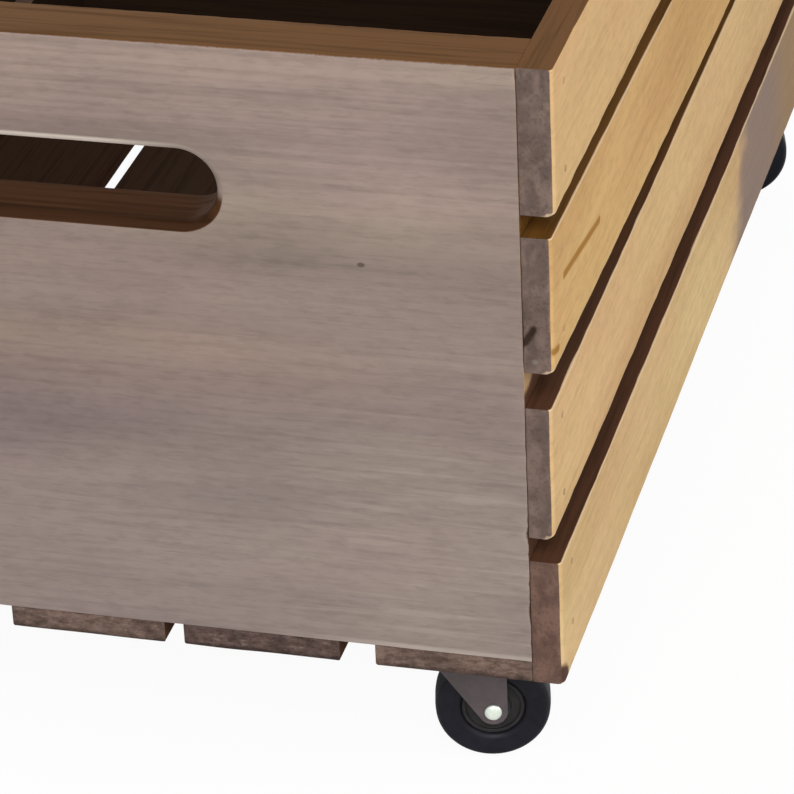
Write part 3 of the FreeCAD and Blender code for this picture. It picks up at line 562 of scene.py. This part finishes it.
def turned(name, profile, centre, heading, steps):
    """A surface of revolution: a closed profile of radius and height pairs carried round a level axle.

    The axle goes through centre. heading is how far it is turned about Z from the row's Y axis.
    """
    profile = np.array(profile, float)
    turn = np.linspace(0, 2 * math.pi, steps, endpoint=False)[:, None, None]
    radius, height = profile[None, :, :1], profile[None, :, 1:]
    axle = np.array([-math.sin(heading), math.cos(heading), 0])
    level = np.array([math.cos(heading), math.sin(heading), 0])
    up = np.array([0.0, 0.0, 1.0])
    rings = centre + height * axle + radius * (np.cos(turn) * level + np.sin(turn) * up)
    return surface(name, rings, {}, wrap_rings=True)


def mirrored(side):
    """A closed profile from one side's points, from inner to outer, and the same points across the middle."""
    return side + [(radius, -height) for radius, height in reversed(side)]


# Materials
class Value:
    """A socket's value. Arithmetic on it adds Math nodes to its tree."""

    def __init__(self, nodes, socket):
        self.nodes, self.socket = nodes, socket

    def math(self, operation, *others):
        return self.nodes.add("ShaderNodeMath", {"operation": operation}, dict(enumerate((self,) + others)))

    def __add__(self, other):
        return self.math("ADD", other)

    def __sub__(self, other):
        return self.math("SUBTRACT", other)

    def __rsub__(self, other):
        return (self * -1.0) + other

    def __mul__(self, other):
        return self.math("MULTIPLY", other)

    __radd__, __rmul__ = __add__, __mul__

    def ramp(self, low, high):
        """0 below low, 1 above high, eased between."""
        settings = {"interpolation_type": "SMOOTHSTEP"}
        return self.nodes.add("ShaderNodeMapRange", settings, {0: self, 1: low, 2: high, 3: 0.0, 4: 1.0})


class Nodes:
    """A node tree that nodes are added to."""

    def __init__(self, tree):
        self.tree = tree

    def add(self, kind, settings, inputs, output=0):
        """Any node: its settings first, then its sockets' values or links."""
        node = self.tree.nodes.new(kind)
        for key, value in settings.items():
            setattr(node, key, value)
        for key, value in inputs.items():
            self.feed(node.inputs[key], value)
        return Value(self, node.outputs[output])

    def feed(self, socket, value):
        if isinstance(value, Value):
            self.tree.links.new(value.socket, socket)
        elif socket.type == "RGBA":
            socket.default_value = (*value, 1.0)
        else:
            socket.default_value = value


class Paint(Nodes):
    """One material's node tree, with its shader."""

    def __init__(self, name):
        self.material = bpy.data.materials.new(name)
        self.material.use_nodes = True
        super().__init__(self.material.node_tree)
        self.shader = self.tree.nodes["Principled BSDF"]
        self.place = self.add("ShaderNodeTexCoord", {}, {}, "Object")

    def mix(self, factor, first, second, blend="MIX"):
        """A colour between two colours."""
        settings = {"data_type": "RGBA", "blend_type": blend}
        return self.add("ShaderNodeMix", settings, {0: factor, 6: first, 7: second}, 2)

    def dim(self, factor, colour, level):
        """A colour multiplied by a level where factor is 1."""
        return self.mix(factor, colour, (level, level, level), "MULTIPLY")

    def attribute(self, name):
        return self.add("ShaderNodeAttribute", {"attribute_name": name}, {}, "Fac")

    def vector(self, operation, inputs, output=0):
        return self.add("ShaderNodeVectorMath", {"operation": operation}, inputs, output)

    def noise(self, per_metre, detail=2.0, roughness=0.5, distortion=0.0, place=None):
        """Noise stretched by its own count per metre along each axis."""
        scaled = self.vector("MULTIPLY", {0: place or self.place, 1: per_metre})
        inputs = {"Vector": scaled, "Scale": 1.0, "Detail": detail, "Roughness": roughness}
        return self.add("ShaderNodeTexNoise", {}, {**inputs, "Distortion": distortion})

    def spot(self, centre, reach):
        """1 at a point, falling to 0 at an ellipsoid's surface about it."""
        offset = self.vector("SUBTRACT", {0: self.place, 1: centre})
        scaled = self.vector("DIVIDE", {0: offset, 1: reach})
        return 1.0 - self.vector("LENGTH", {0: scaled}, "Value").math("MINIMUM", 1.0)

    def streak(self, start, end, reach):
        """1 on the line between two points, falling to 0 at a reach from it."""
        run = np.array(end) - np.array(start)
        offset = self.vector("SUBTRACT", {0: self.place, 1: start})
        along = self.vector("DOT_PRODUCT", {0: offset, 1: tuple(run / (run @ run))}, "Value")
        share = along.math("MAXIMUM", 0.0).math("MINIMUM", 1.0)
        nearest = self.vector("SCALE", {0: tuple(run), "Scale": share})
        away = self.vector("DISTANCE", {0: offset, 1: nearest}, "Value")
        return 1.0 - (away * (1.0 / reach)).math("MINIMUM", 1.0)

    def axis(self, name):
        return self.add("ShaderNodeSeparateXYZ", {}, {0: self.place}, name)

    def bump(self, height, distance, strength=1.0):
        self.feed(self.shader.inputs["Normal"], self.add(
            "ShaderNodeBump", {}, {"Height": height, "Distance": distance, "Strength": strength}))

    def finish(self, inputs):
        for name, value in inputs.items():
            self.feed(self.shader.inputs[name], value)
        return self.material


def scaled_colour(colour, factor):
    return tuple(min(1.0, channel * factor) for channel in colour)


def stained_face(paint, grain, pale, deep):
    """A pale and a deep tone mixed by long bands and blotches, with a slight drift in hue."""
    bands = grain(1.8, 22.0, 3.0, 0.55, 0.3)
    blotch = grain(6.0, 13.0, 2.0, 0.5)
    drift = grain(7.0, 20.0, 2.0, 0.5)
    outside = paint.mix((bands * 0.6 + blotch * 0.4).ramp(0.36, 0.64), deep, pale)
    return paint.mix(drift.ramp(0.4, 0.6) * 0.5, outside, HUE_DRIFT, "MULTIPLY")


def board_edges(paint, shades):
    """Red-brown edges, yellower in the upper gaps and behind, walnut on the rims, and one bare patch."""
    along, height = paint.axis("Y"), paint.axis("Z")
    rear_amber = height.ramp(*REAR_AMBER_GAP) * along.ramp(*REAR_AMBER_RUN)
    amber = rear_amber.math("MAXIMUM", height.ramp(*AMBER_GAPS))
    edges = paint.mix(amber, shades.gap_edge, shades.amber)
    edges = paint.mix(paint.attribute("rim"), edges, shades.walnut)
    return paint.mix(paint.spot(*BARE_EDGE).ramp(0.1, 0.5), edges, shades.bare)


def sawn_ends(paint, place, speck, shades):
    """Grey rings of late and early wood with dark pores, and the marks of single ends."""
    rings = paint.noise((150.0, 20.0, 110.0), 3.0, 0.55, 0.4, place)
    late_wood, early_wood = scaled_colour(shades.end_grain, 0.76), scaled_colour(shades.end_grain, 1.2)
    ends = paint.mix(rings.ramp(0.34, 0.66), late_wood, early_wood)
    return end_marks(paint, paint.dim(1.0 - speck.ramp(0.34, 0.5), ends, 0.8))


def wood(name, direction, pale, deep, inner, line_level, marks):
    """Sawn, stained softwood.

    The outside is stained between a pale and a deep tone, crossed by fibre lines dimmed to line_level and
    by short pores, and takes the marks of its kind of board. Inner faces take the dark inner colour, which is
    painted shade, and hole walls are dark. The hole's lower lip is darkened further as painted shade, and its
    upper edge takes a pale painted highlight. Edges, sawn ends and worn corners have their own tones, and the
    pale tone on worn corners is a painted highlight.
    """
    paint = Paint(name)
    shades = colours()
    board = paint.attribute("board")
    shift = paint.add("ShaderNodeCombineXYZ", {}, {0: board * 3.1, 1: board * 5.3, 2: board * 7.7})
    place = paint.vector("ADD", {0: paint.place, 1: shift})

    def grain(along, across, *texture):
        """Noise drawn out along the board, from its counts per metre along and across."""
        counts = (along, across, across) if direction == "x" else (across, along, across)
        return paint.noise(counts, *texture, place=place)

    fibre = grain(13.0, 420.0, 3.0, 0.6)
    pores = grain(130.0, 650.0, 2.0, 0.6)
    speck = grain(700.0, 700.0, 2.0, 0.6)
    mottle = grain(110.0, 220.0, 2.0, 0.5)
    lines = 1.0 - fibre.ramp(0.34, 0.54)
    fray = (fibre + speck) * 0.3 - 0.3
    outside = stained_face(paint, grain, pale, deep)
    outside = paint.dim(lines, outside, line_level)
    outside = paint.dim(1.0 - pores.ramp(0.32, 0.52), outside, line_level)
    outside = paint.dim(mottle.ramp(0.4, 0.6), outside, 0.95)
    outside = marks(paint, outside, fibre)
    colour = paint.dim(lines, board_edges(paint, shades), 0.75)
    colour = paint.mix((paint.attribute("outside") + fray).ramp(0.35, 0.65), colour, outside)
    # Painted shade: the dark inner colour on faces turned into the crate stands in for the shade inside it.
    inside = paint.dim(lines, inner, 0.75)
    colour = paint.mix((paint.attribute("inside") + fray).ramp(0.35, 0.65), colour, inside)
    hole = paint.dim(lines, shades.hole, 0.75)
    # Painted shade: the lower lip, where the hole value nears 2, is darkened.
    hole = paint.dim(paint.attribute("hole").ramp(1.1, 1.9), hole, 0.62)
    colour = paint.mix(paint.attribute("hole").ramp(0.2, 0.8), colour, hole)
    # Painted highlight: a pale line along the hand holes' upper edges, weaker away from the middle.
    off_middle = paint.axis("X").math("ABSOLUTE").ramp(*LIP_HIGHLIGHT_MIDDLE)
    rubbed = paint.attribute("rubbed") * (1.0 - 0.7 * off_middle)
    colour = paint.mix(rubbed, colour, shades.lip)
    ends = sawn_ends(paint, place, speck, shades)
    colour = paint.mix(paint.attribute("sawn_end").ramp(0.3, 0.7), colour, ends)
    # Painted highlight: a pale tone along worn outer corners and the lower edges of the ends.
    colour = paint.mix((paint.attribute("worn") + fray).ramp(0.25, 0.75) * 0.7, colour, shades.worn)
    paint.bump(fibre * 0.6 + pores * 0.5 + speck * paint.attribute("sawn_end") * 0.8, 0.0003, 0.55)
    return paint.finish({"Base Color": colour, "Roughness": 0.8 + lines * 0.12, "Specular IOR Level": 0.1})


def panel_marks(paint, outside, fibre):
    """A dark knot, fine lines near the rim, pale and dark patches, a warm band, a cool, streaked foot, and a
    painted highlight along the bottom edge.
    """
    across, height = paint.axis("X"), paint.axis("Z")
    foot, head = 1.0 - height.ramp(*PANEL_FOOT), height.ramp(*PANEL_HEAD)
    cool = paint.mix(across.ramp(*LESS_COOL_RIGHT), COOL_LEFT, COOL_RIGHT)
    outside = paint.mix(foot, outside, cool, "MULTIPLY")
    long_lines = paint.noise((3.0, 3.0, 430.0), 1.0, 0.4).ramp(0.42, 0.58)
    outside = paint.dim(long_lines * head, outside, 0.92)
    upper_patch = paint.spot(*UPPER_PALE_PATCH).ramp(0.0, 0.8)
    lower_patch = paint.spot(*LOWER_PALE_PATCH).ramp(0.0, 0.8)
    pale_patch = upper_patch.math("MAXIMUM", lower_patch)
    dark_patch = paint.spot(*DARK_PATCH).ramp(0.0, 0.8)
    tone = 1.0 + head * 0.07 + pale_patch * 0.15 - dark_patch * 0.12
    outside = paint.mix(1.0, outside, tone, "MULTIPLY")
    outside = paint.mix(paint.spot(*WARM_BAND).ramp(0.0, 0.7) * 0.8, outside, WARM_TINT, "MULTIPLY")
    pale = paint.noise((14.0, 14.0, 330.0), 3.0, 0.6).ramp(0.5, 0.66)
    # Painted highlight: a pale line along the panel's bottom edge, added to the pale streaks of the foot.
    bottom_edge = 1.0 - height.ramp(*PANEL_BOTTOM_EDGE)
    pale = (pale * 0.14).math("MAXIMUM", bottom_edge * fibre * 0.7)
    outside = paint.mix(pale * foot * across.ramp(*STREAKED_RIGHT), outside, colours().lip)
    knot = (paint.spot(*KNOT) + fibre * 0.3).ramp(0.3, 0.7)
    return paint.mix(knot * 0.8, outside, KNOT_COLOUR)


def slat_marks(paint, outside, fibre):
    """Each row's own tone, resin streaks on an upper slat, and a base slat stained in front and behind."""
    along, height = paint.axis("Y"), paint.axis("Z")
    base = 1.0 - height.ramp(*OVER_BASE_ROW)
    upper_rows, top_row = height.ramp(*OVER_LOWER_ROW), height.ramp(*OVER_UPPER_ROW)
    outside = paint.mix(base, outside, BASE_ROW_TINT, "MULTIPLY")
    outside = paint.mix(upper_rows, outside, UPPER_ROWS_TINT, "MULTIPLY")
    outside = paint.mix(upper_rows - top_row, outside, SECOND_ROW_TINT, "MULTIPLY")
    resin = paint.streak(*LONG_RESIN).math("MAXIMUM", paint.streak(*SHORT_RESIN))
    outside = paint.mix((resin * (fibre + 0.55)).ramp(0.05, 0.7) * 0.9, outside, colours().resin)
    base = base * paint.axis("X").ramp(0.0, 0.1)
    cloud = paint.noise((30.0, 18.0, 40.0), 3.0, 0.6)
    rear = (along - STAIN_SLOPE * (height - STAIN_FOOT) + cloud * 0.09).ramp(*STAIN_RUN)
    stain = paint.mix(along.ramp(*STAIN_WARMS), STAIN, REAR_STAIN)
    outside = paint.mix(rear * base * (fibre * 0.4 + 0.7), outside, stain)
    corner = (paint.spot(*STAINED_CORNER) * base + fibre * 0.2).ramp(0.15, 0.4)
    return paint.mix(corner, outside, CORNER_STAIN)


def floor_marks(paint, outside, fibre):
    """Scuffed lighter patches under the floor slats."""
    scuff = paint.noise((20.0, 6.0, 20.0), 3.0, 0.6)
    return paint.mix(scuff.ramp(0.55, 0.7) * 0.3, outside, colours().panel_deep)


def end_marks(paint, ends):
    """Browner base slats, speckled floor slats, and a crack, a splinter and a bruise in the sloping slat."""
    across, height = paint.axis("X"), paint.axis("Z")
    low = 1.0 - height.ramp(*OVER_BASE_ROW)
    base = low * across.math("ABSOLUTE").ramp(*FLOOR_TO_SIDE)
    ends = paint.mix(base, ends, BASE_END_TINT, "MULTIPLY")
    floor = low * (1.0 - base)
    darkest = across.ramp(*DARK_END_FROM) - across.ramp(*DARK_END_TO)
    ends = paint.mix(floor, ends, FLOOR_END_TINT, "MULTIPLY")
    ends = paint.mix(floor * darkest, ends, DARK_END_TINT, "MULTIPLY")
    coarse = paint.noise((170.0, 60.0, 480.0), 3.0, 0.7)
    ends = paint.dim(floor * (1.0 - coarse.ramp(0.36, 0.56)), ends, 0.62)
    ends = paint.mix(floor * coarse.ramp(0.56, 0.7) * 0.5, ends, PALE_SPECK)
    # The floor slats' ends are darker towards the bottom.
    ends = paint.dim(floor * (1.0 - height.ramp(*DARKER_FOOT)), ends, 0.55)
    ends = paint.mix(paint.streak(*CRACK).ramp(0.3, 0.8) * 0.9, ends, CRACK_COLOUR)
    ends = paint.mix(paint.streak(*SPLINTER).ramp(0.0, 0.7) * 0.6, ends, SPLINTER_COLOUR)
    return paint.mix(paint.spot(*BRUISE).ramp(0.0, 0.8) * 0.4, ends, BRUISE_COLOUR)


def moulded(name, colour, roughness):
    """Black rubber or plastic: a faint mottle, scuffs and a fine grained surface."""
    paint = Paint(name)
    mottle = paint.noise((240.0, 240.0, 240.0), 3.0, 0.6)
    scuff = paint.noise((900.0, 900.0, 900.0), 2.0, 0.6)
    shade = paint.mix(mottle.ramp(0.3, 0.7), scaled_colour(colour, 0.8), scaled_colour(colour, 1.2))
    paint.bump(scuff, 0.0001, 0.3)
    rough = roughness + mottle * 0.2
    return paint.finish({"Base Color": shade, "Roughness": rough, "Specular IOR Level": 0.16})


def metal(name, colour, roughness, metallic):
    """Painted or plated steel: uneven sheen, fine speckle and slight dents."""
    paint = Paint(name)
    cloud = paint.noise((160.0, 160.0, 160.0), 3.0, 0.55)
    speck = paint.noise((1400.0, 1400.0, 1400.0), 2.0, 0.6)
    shade = paint.mix(cloud.ramp(0.3, 0.7), scaled_colour(colour, 0.85), scaled_colour(colour, 1.12))
    shade = paint.mix(speck.ramp(0.6, 0.75) * 0.3, shade, scaled_colour(colour, 0.5))
    paint.bump(cloud + speck * 0.4, 0.00012, 0.35)
    return paint.finish({"Base Color": shade, "Roughness": roughness + cloud * 0.2, "Metallic": metallic})


def dress(nodes, material):
    """Gives CAD nodes that are shown as they are a finished material."""
    for node in nodes:
        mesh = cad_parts[node].data
        mesh.materials.clear()
        mesh.materials.append(material)


# Operators
class CratePanels(bpy.types.Operator):
    """Build the two end panels with their hand holes"""

    bl_idname = "crate.end_panels"
    bl_label = "End panels"

    def execute(self, context):
        shades = colours()
        material = wood("weathered_board", "x", shades.panel_pale, shades.panel_deep,
                        shades.inside, 0.91, panel_marks)
        for seed, node in enumerate(PANELS, start=11):
            mesh = end_panel(node, node.startswith("front"), seed)
            add_piece(mesh, material, "crate", node)
        return {"FINISHED"}


class CrateSideSlats(bpy.types.Operator):
    """Build the four slats of each side"""

    bl_idname = "crate.side_slats"
    bl_label = "Side slats"

    def execute(self, context):
        shades = colours()
        # Partly painted light: the tan tones paint warm light from the right into the outer faces' colour.
        material = wood("golden_slat", "y", shades.tan_pale, shades.tan_deep,
                        shades.inside, 0.93, slat_marks)
        chips = {SLOPING_SLAT: [BROKEN_END]}
        tall = {node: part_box(node)[1][2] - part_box(node)[0][2] for node in (SLOPING_SLAT, LEVEL_TWIN)}
        drop = tall[SLOPING_SLAT] - tall[LEVEL_TWIN]
        for seed, node in enumerate(SIDE_SLATS, start=21):
            outward = (1.0, 0.0) if node.startswith("right") else (-1.0, 0.0)
            tilt = drop if node == SLOPING_SLAT else 0.0
            rim, scuffed_and_highlit = float("top" in node), float("base" not in node)
            mesh = slat(node, outward, seed, tilt, rim, scuffed_and_highlit, chips.get(node, ()))
            add_piece(mesh, material, "crate", node)
        return {"FINISHED"}


class CrateFloorSlats(bpy.types.Operator):
    """Build the five floor slats"""

    bl_idname = "crate.floor_slats"
    bl_label = "Floor slats"

    def execute(self, context):
        stain, inner = colours().floor_slat, colours().inner_floor
        material = wood("floor_slat", "y", stain, scaled_colour(stain, 0.7), inner, 0.86, floor_marks)
        for seed, node in enumerate(FLOOR_SLATS, start=41):
            add_piece(slat(node, (0.0, -1.0), seed), material, "crate", node)
        return {"FINISHED"}


class CrateNails(bpy.types.Operator):
    """Finish the nails of the side and floor slats"""

    bl_idname = "crate.nails"
    bl_label = "Nails"

    def execute(self, context):
        material = metal("dull_nail", colours().nail, 0.65, 0.15)
        dress(["side_slat_nails", "floor_slat_nails"], material)
        return {"FINISHED"}


class CrateWheels(bpy.types.Operator):
    """Build each caster's tyre, hub and axle"""

    bl_idname = "crate.wheels"
    bl_label = "Wheels"

    def execute(self, context):
        shades = colours()
        rubber = moulded("black_tyre", shades.rubber, 0.35)
        plastic = moulded("black_hub", shades.hub, 0.25)
        zinc = metal("axle_zinc", shades.zinc, 0.35, 0.6)
        for corner in CORNERS:
            low, high = box_of(f"{corner}_tyre")
            pin_low, pin_high = box_of(f"{corner}_kingpin")
            centre, trail = (low + high) / 2, (low + high - pin_low - pin_high) / 2
            heading = math.atan2(trail[1], trail[0])
            hub_low, hub_high = box_of(f"{corner}_wheel_hub")
            radius, seat = (high[2] - low[2]) / 2, (hub_high[2] - hub_low[2]) / 2
            tyre = turned(f"{corner}_tyre_visual", self.tyre(radius, seat), centre, heading, TYRE_STEPS)
            add_piece(tyre, rubber, f"{corner}_wheel", f"{corner}_tyre")
            hub = turned(f"{corner}_hub_visual", self.hub(seat), centre, heading, HUB_STEPS)
            add_piece(hub, plastic, f"{corner}_wheel", f"{corner}_wheel_hub")
            axle = turned(f"{corner}_axle_visual", self.axle(), centre, heading, AXLE_STEPS)
            add_piece(axle, zinc, f"{corner}_swivel", f"{corner}_axle")
        return {"FINISHED"}

    def tyre(self, radius, seat):
        """The tyre's section: a bevel by the hub, a flat side, a shoulder and a faintly crowned tread."""
        half, shoulder = sizes().tyre_half, sizes().tyre_shoulder
        bevel_deep, bevel_wide, crown, level_share, easing = 0.0015, 0.0017, 0.0003, 0.4, 0.0009
        side = [(seat, -half + bevel_deep), (seat + bevel_wide, -half), (radius - shoulder, -half),
                (radius - crown, -half + shoulder), (radius, -half * level_share)]
        return eased(mirrored(side), easing)

    def hub(self, seat):
        """The hub's section: a boss on the bush, a shallow dish and a rim under the tyre."""
        half, boss = sizes().tyre_half, sizes().hub_half
        bore, collar, slope, rim_thick = 0.004, 0.0065, 0.0004, 0.0016
        rim_recess, web_recess, easing = 0.0016, 0.0026, 0.0005
        rim, web, inner = half - rim_recess, half - web_recess, seat - rim_thick
        side = [(bore, -boss), (collar, -boss), (collar + slope, -web),
                (inner, -web), (inner, -rim), (seat, -rim)]
        return eased(mirrored(side), easing)

    def axle(self):
        """The axle's section: a low dome in front, a shank and a chamfered end."""
        front, rear = -sizes().axle_front, sizes().axle_rear
        head, shank, seat, dome_share = 0.0033, 0.0025, 0.0015, 0.8
        chamfer_long, chamfer_deep = 0.0006, 0.0005
        turn = np.linspace(0, QUARTER, 7)
        dome = np.stack([head * np.sin(turn), front + seat * dome_share * (1 - np.cos(turn))], -1)
        rest = [(head, front + seat), (shank, front + seat),
                (shank, rear - chamfer_long), (shank - chamfer_deep, rear), (0, rear)]
        return np.concatenate([dome, rest])


class CrateCasterSteel(bpy.types.Operator):
    """Finish the casters' plates, forks, rivets, balls, nuts, bushes and screws"""

    bl_idname = "crate.caster_steel"
    bl_label = "Caster steel"

    def execute(self, context):
        shades = colours()
        bronze = metal("bronze_steel", shades.bronze, 0.5, 0.2)
        zinc = metal("zinc_steel", shades.zinc, 0.32, 0.85)
        for corner in CORNERS:
            dress([f"{corner}_{piece}" for piece in BRONZE_PIECES], bronze)
            dress([f"{corner}_{piece}" for piece in ZINC_PIECES], zinc)
        dress(["caster_screws"], zinc)
        return {"FINISHED"}


class CrateStudio(bpy.types.Operator):
    """Set up the floor, the lamps, the world and the camera"""

    bl_idname = "crate.stage"
    bl_label = "Stage"

    def execute(self, context):
        scene = context.scene
        stage = scene.crate_stage
        self.floor()
        for name, (place, target, size) in LAMPS.items():
            self.lamp(name, place, target, getattr(stage, f"{name}_power"), size)
        self.world(scene, stage.ambient)
        camera = bpy.data.objects.new("camera", bpy.data.cameras.new("camera"))
        scene.collection.objects.link(camera)
        camera.data.lens = stage.lens
        camera.matrix_world = Matrix.LocRotScale(Vector(CAMERA_PLACE), Euler(CAMERA_TURN), None)
        scene.camera = camera
        scene.view_settings.view_transform = "Standard"
        return {"FINISHED"}

    def floor(self):
        """A wide pale floor. Seen by the camera it is mostly white, and it keeps the crate's shadow."""
        mesh = bpy.data.meshes.new("floor")
        points = [(x * FLOOR_REACH, y * FLOOR_REACH, 0.0) for x, y in CORNER_SIGNS]
        mesh.from_pydata(points, [], [range(4)])
        floor = bpy.data.objects.new("floor", mesh)
        bpy.context.scene.collection.objects.link(floor)
        paint = Paint("pale_floor")
        cloud = paint.noise((3.0, 3.0, 3.0), 2.0)
        pale = paint.mix(cloud, (0.88, 0.88, 0.87), (0.92, 0.92, 0.91))
        paint.finish({"Base Color": pale, "Roughness": 0.9})
        glow = paint.add("ShaderNodeEmission", {}, {"Color": (1.0, 1.0, 1.0), "Strength": 1.0})
        seen = paint.add("ShaderNodeLightPath", {}, {}, "Is Camera Ray")
        lit = Value(paint, paint.shader.outputs[0])
        blend = paint.add("ShaderNodeMixShader", {}, {0: seen * 0.95, 1: lit, 2: glow})
        paint.feed(paint.tree.nodes["Material Output"].inputs["Surface"], blend)
        mesh.materials.append(paint.material)

    def lamp(self, name, place, target, power, size):
        """A square soft lamp aimed at a point."""
        light = bpy.data.lights.new(name, "AREA")
        light.energy, light.size = power, size
        lamp = bpy.data.objects.new(name, light)
        bpy.context.scene.collection.objects.link(lamp)
        turn = (Vector(target) - Vector(place)).to_track_quat("-Z", "Y")
        lamp.matrix_world = Matrix.LocRotScale(Vector(place), turn, None)

    def world(self, scene, ambient):
        """White where the camera or a reflection sees it, and a weaker even light elsewhere."""
        world = bpy.data.worlds.new("studio")
        scene.world = world
        world.use_nodes = True
        nodes = Nodes(world.node_tree)
        camera = nodes.add("ShaderNodeLightPath", {}, {}, "Is Camera Ray")
        glossy = nodes.add("ShaderNodeLightPath", {}, {}, "Is Glossy Ray")
        background = world.node_tree.nodes["Background"]
        nodes.feed(background.inputs["Color"], (1.0, 1.0, 1.0))
        strength = camera.math("MAXIMUM", glossy) * (1.0 - ambient) + ambient
        nodes.feed(background.inputs["Strength"], strength)


OPERATORS = (
    CratePanels, CrateSideSlats, CrateFloorSlats, CrateNails, CrateWheels, CrateCasterSteel, CrateStudio)


class CratePanel(bpy.types.Panel):
    """Lists the crate's properties and its operators"""

    bl_idname = "VIEW3D_PT_crate"
    bl_label = "Crate on Casters"
    bl_space_type = "VIEW_3D"
    bl_region_type = "UI"
    bl_category = "Crate"

    def draw(self, context):
        for group in (context.scene.crate_sizes, context.scene.crate_colours, context.scene.crate_stage):
            column = self.layout.column()
            for name in group.__annotations__:
                column.prop(group, name)
        for operator in OPERATORS:
            self.layout.operator(operator.bl_idname)


CLASSES = (CrateSizes, CrateColours, CrateStage, *OPERATORS, CratePanel)


def register():
    for kind in CLASSES:
        bpy.utils.register_class(kind)
    bpy.types.Scene.crate_sizes = PointerProperty(type=CrateSizes)
    bpy.types.Scene.crate_colours = PointerProperty(type=CrateColours)
    bpy.types.Scene.crate_stage = PointerProperty(type=CrateStage)


def unregister():
    del bpy.types.Scene.crate_stage, bpy.types.Scene.crate_colours, bpy.types.Scene.crate_sizes
    for kind in reversed(CLASSES):
        bpy.utils.unregister_class(kind)


def main():
    """Registers the add-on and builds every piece."""
    register()
    bpy.ops.crate.end_panels()
    bpy.ops.crate.side_slats()
    bpy.ops.crate.floor_slats()
    bpy.ops.crate.nails()
    bpy.ops.crate.wheels()
    bpy.ops.crate.caster_steel()
    bpy.ops.crate.stage()


if __name__ == "__main__":
    main()
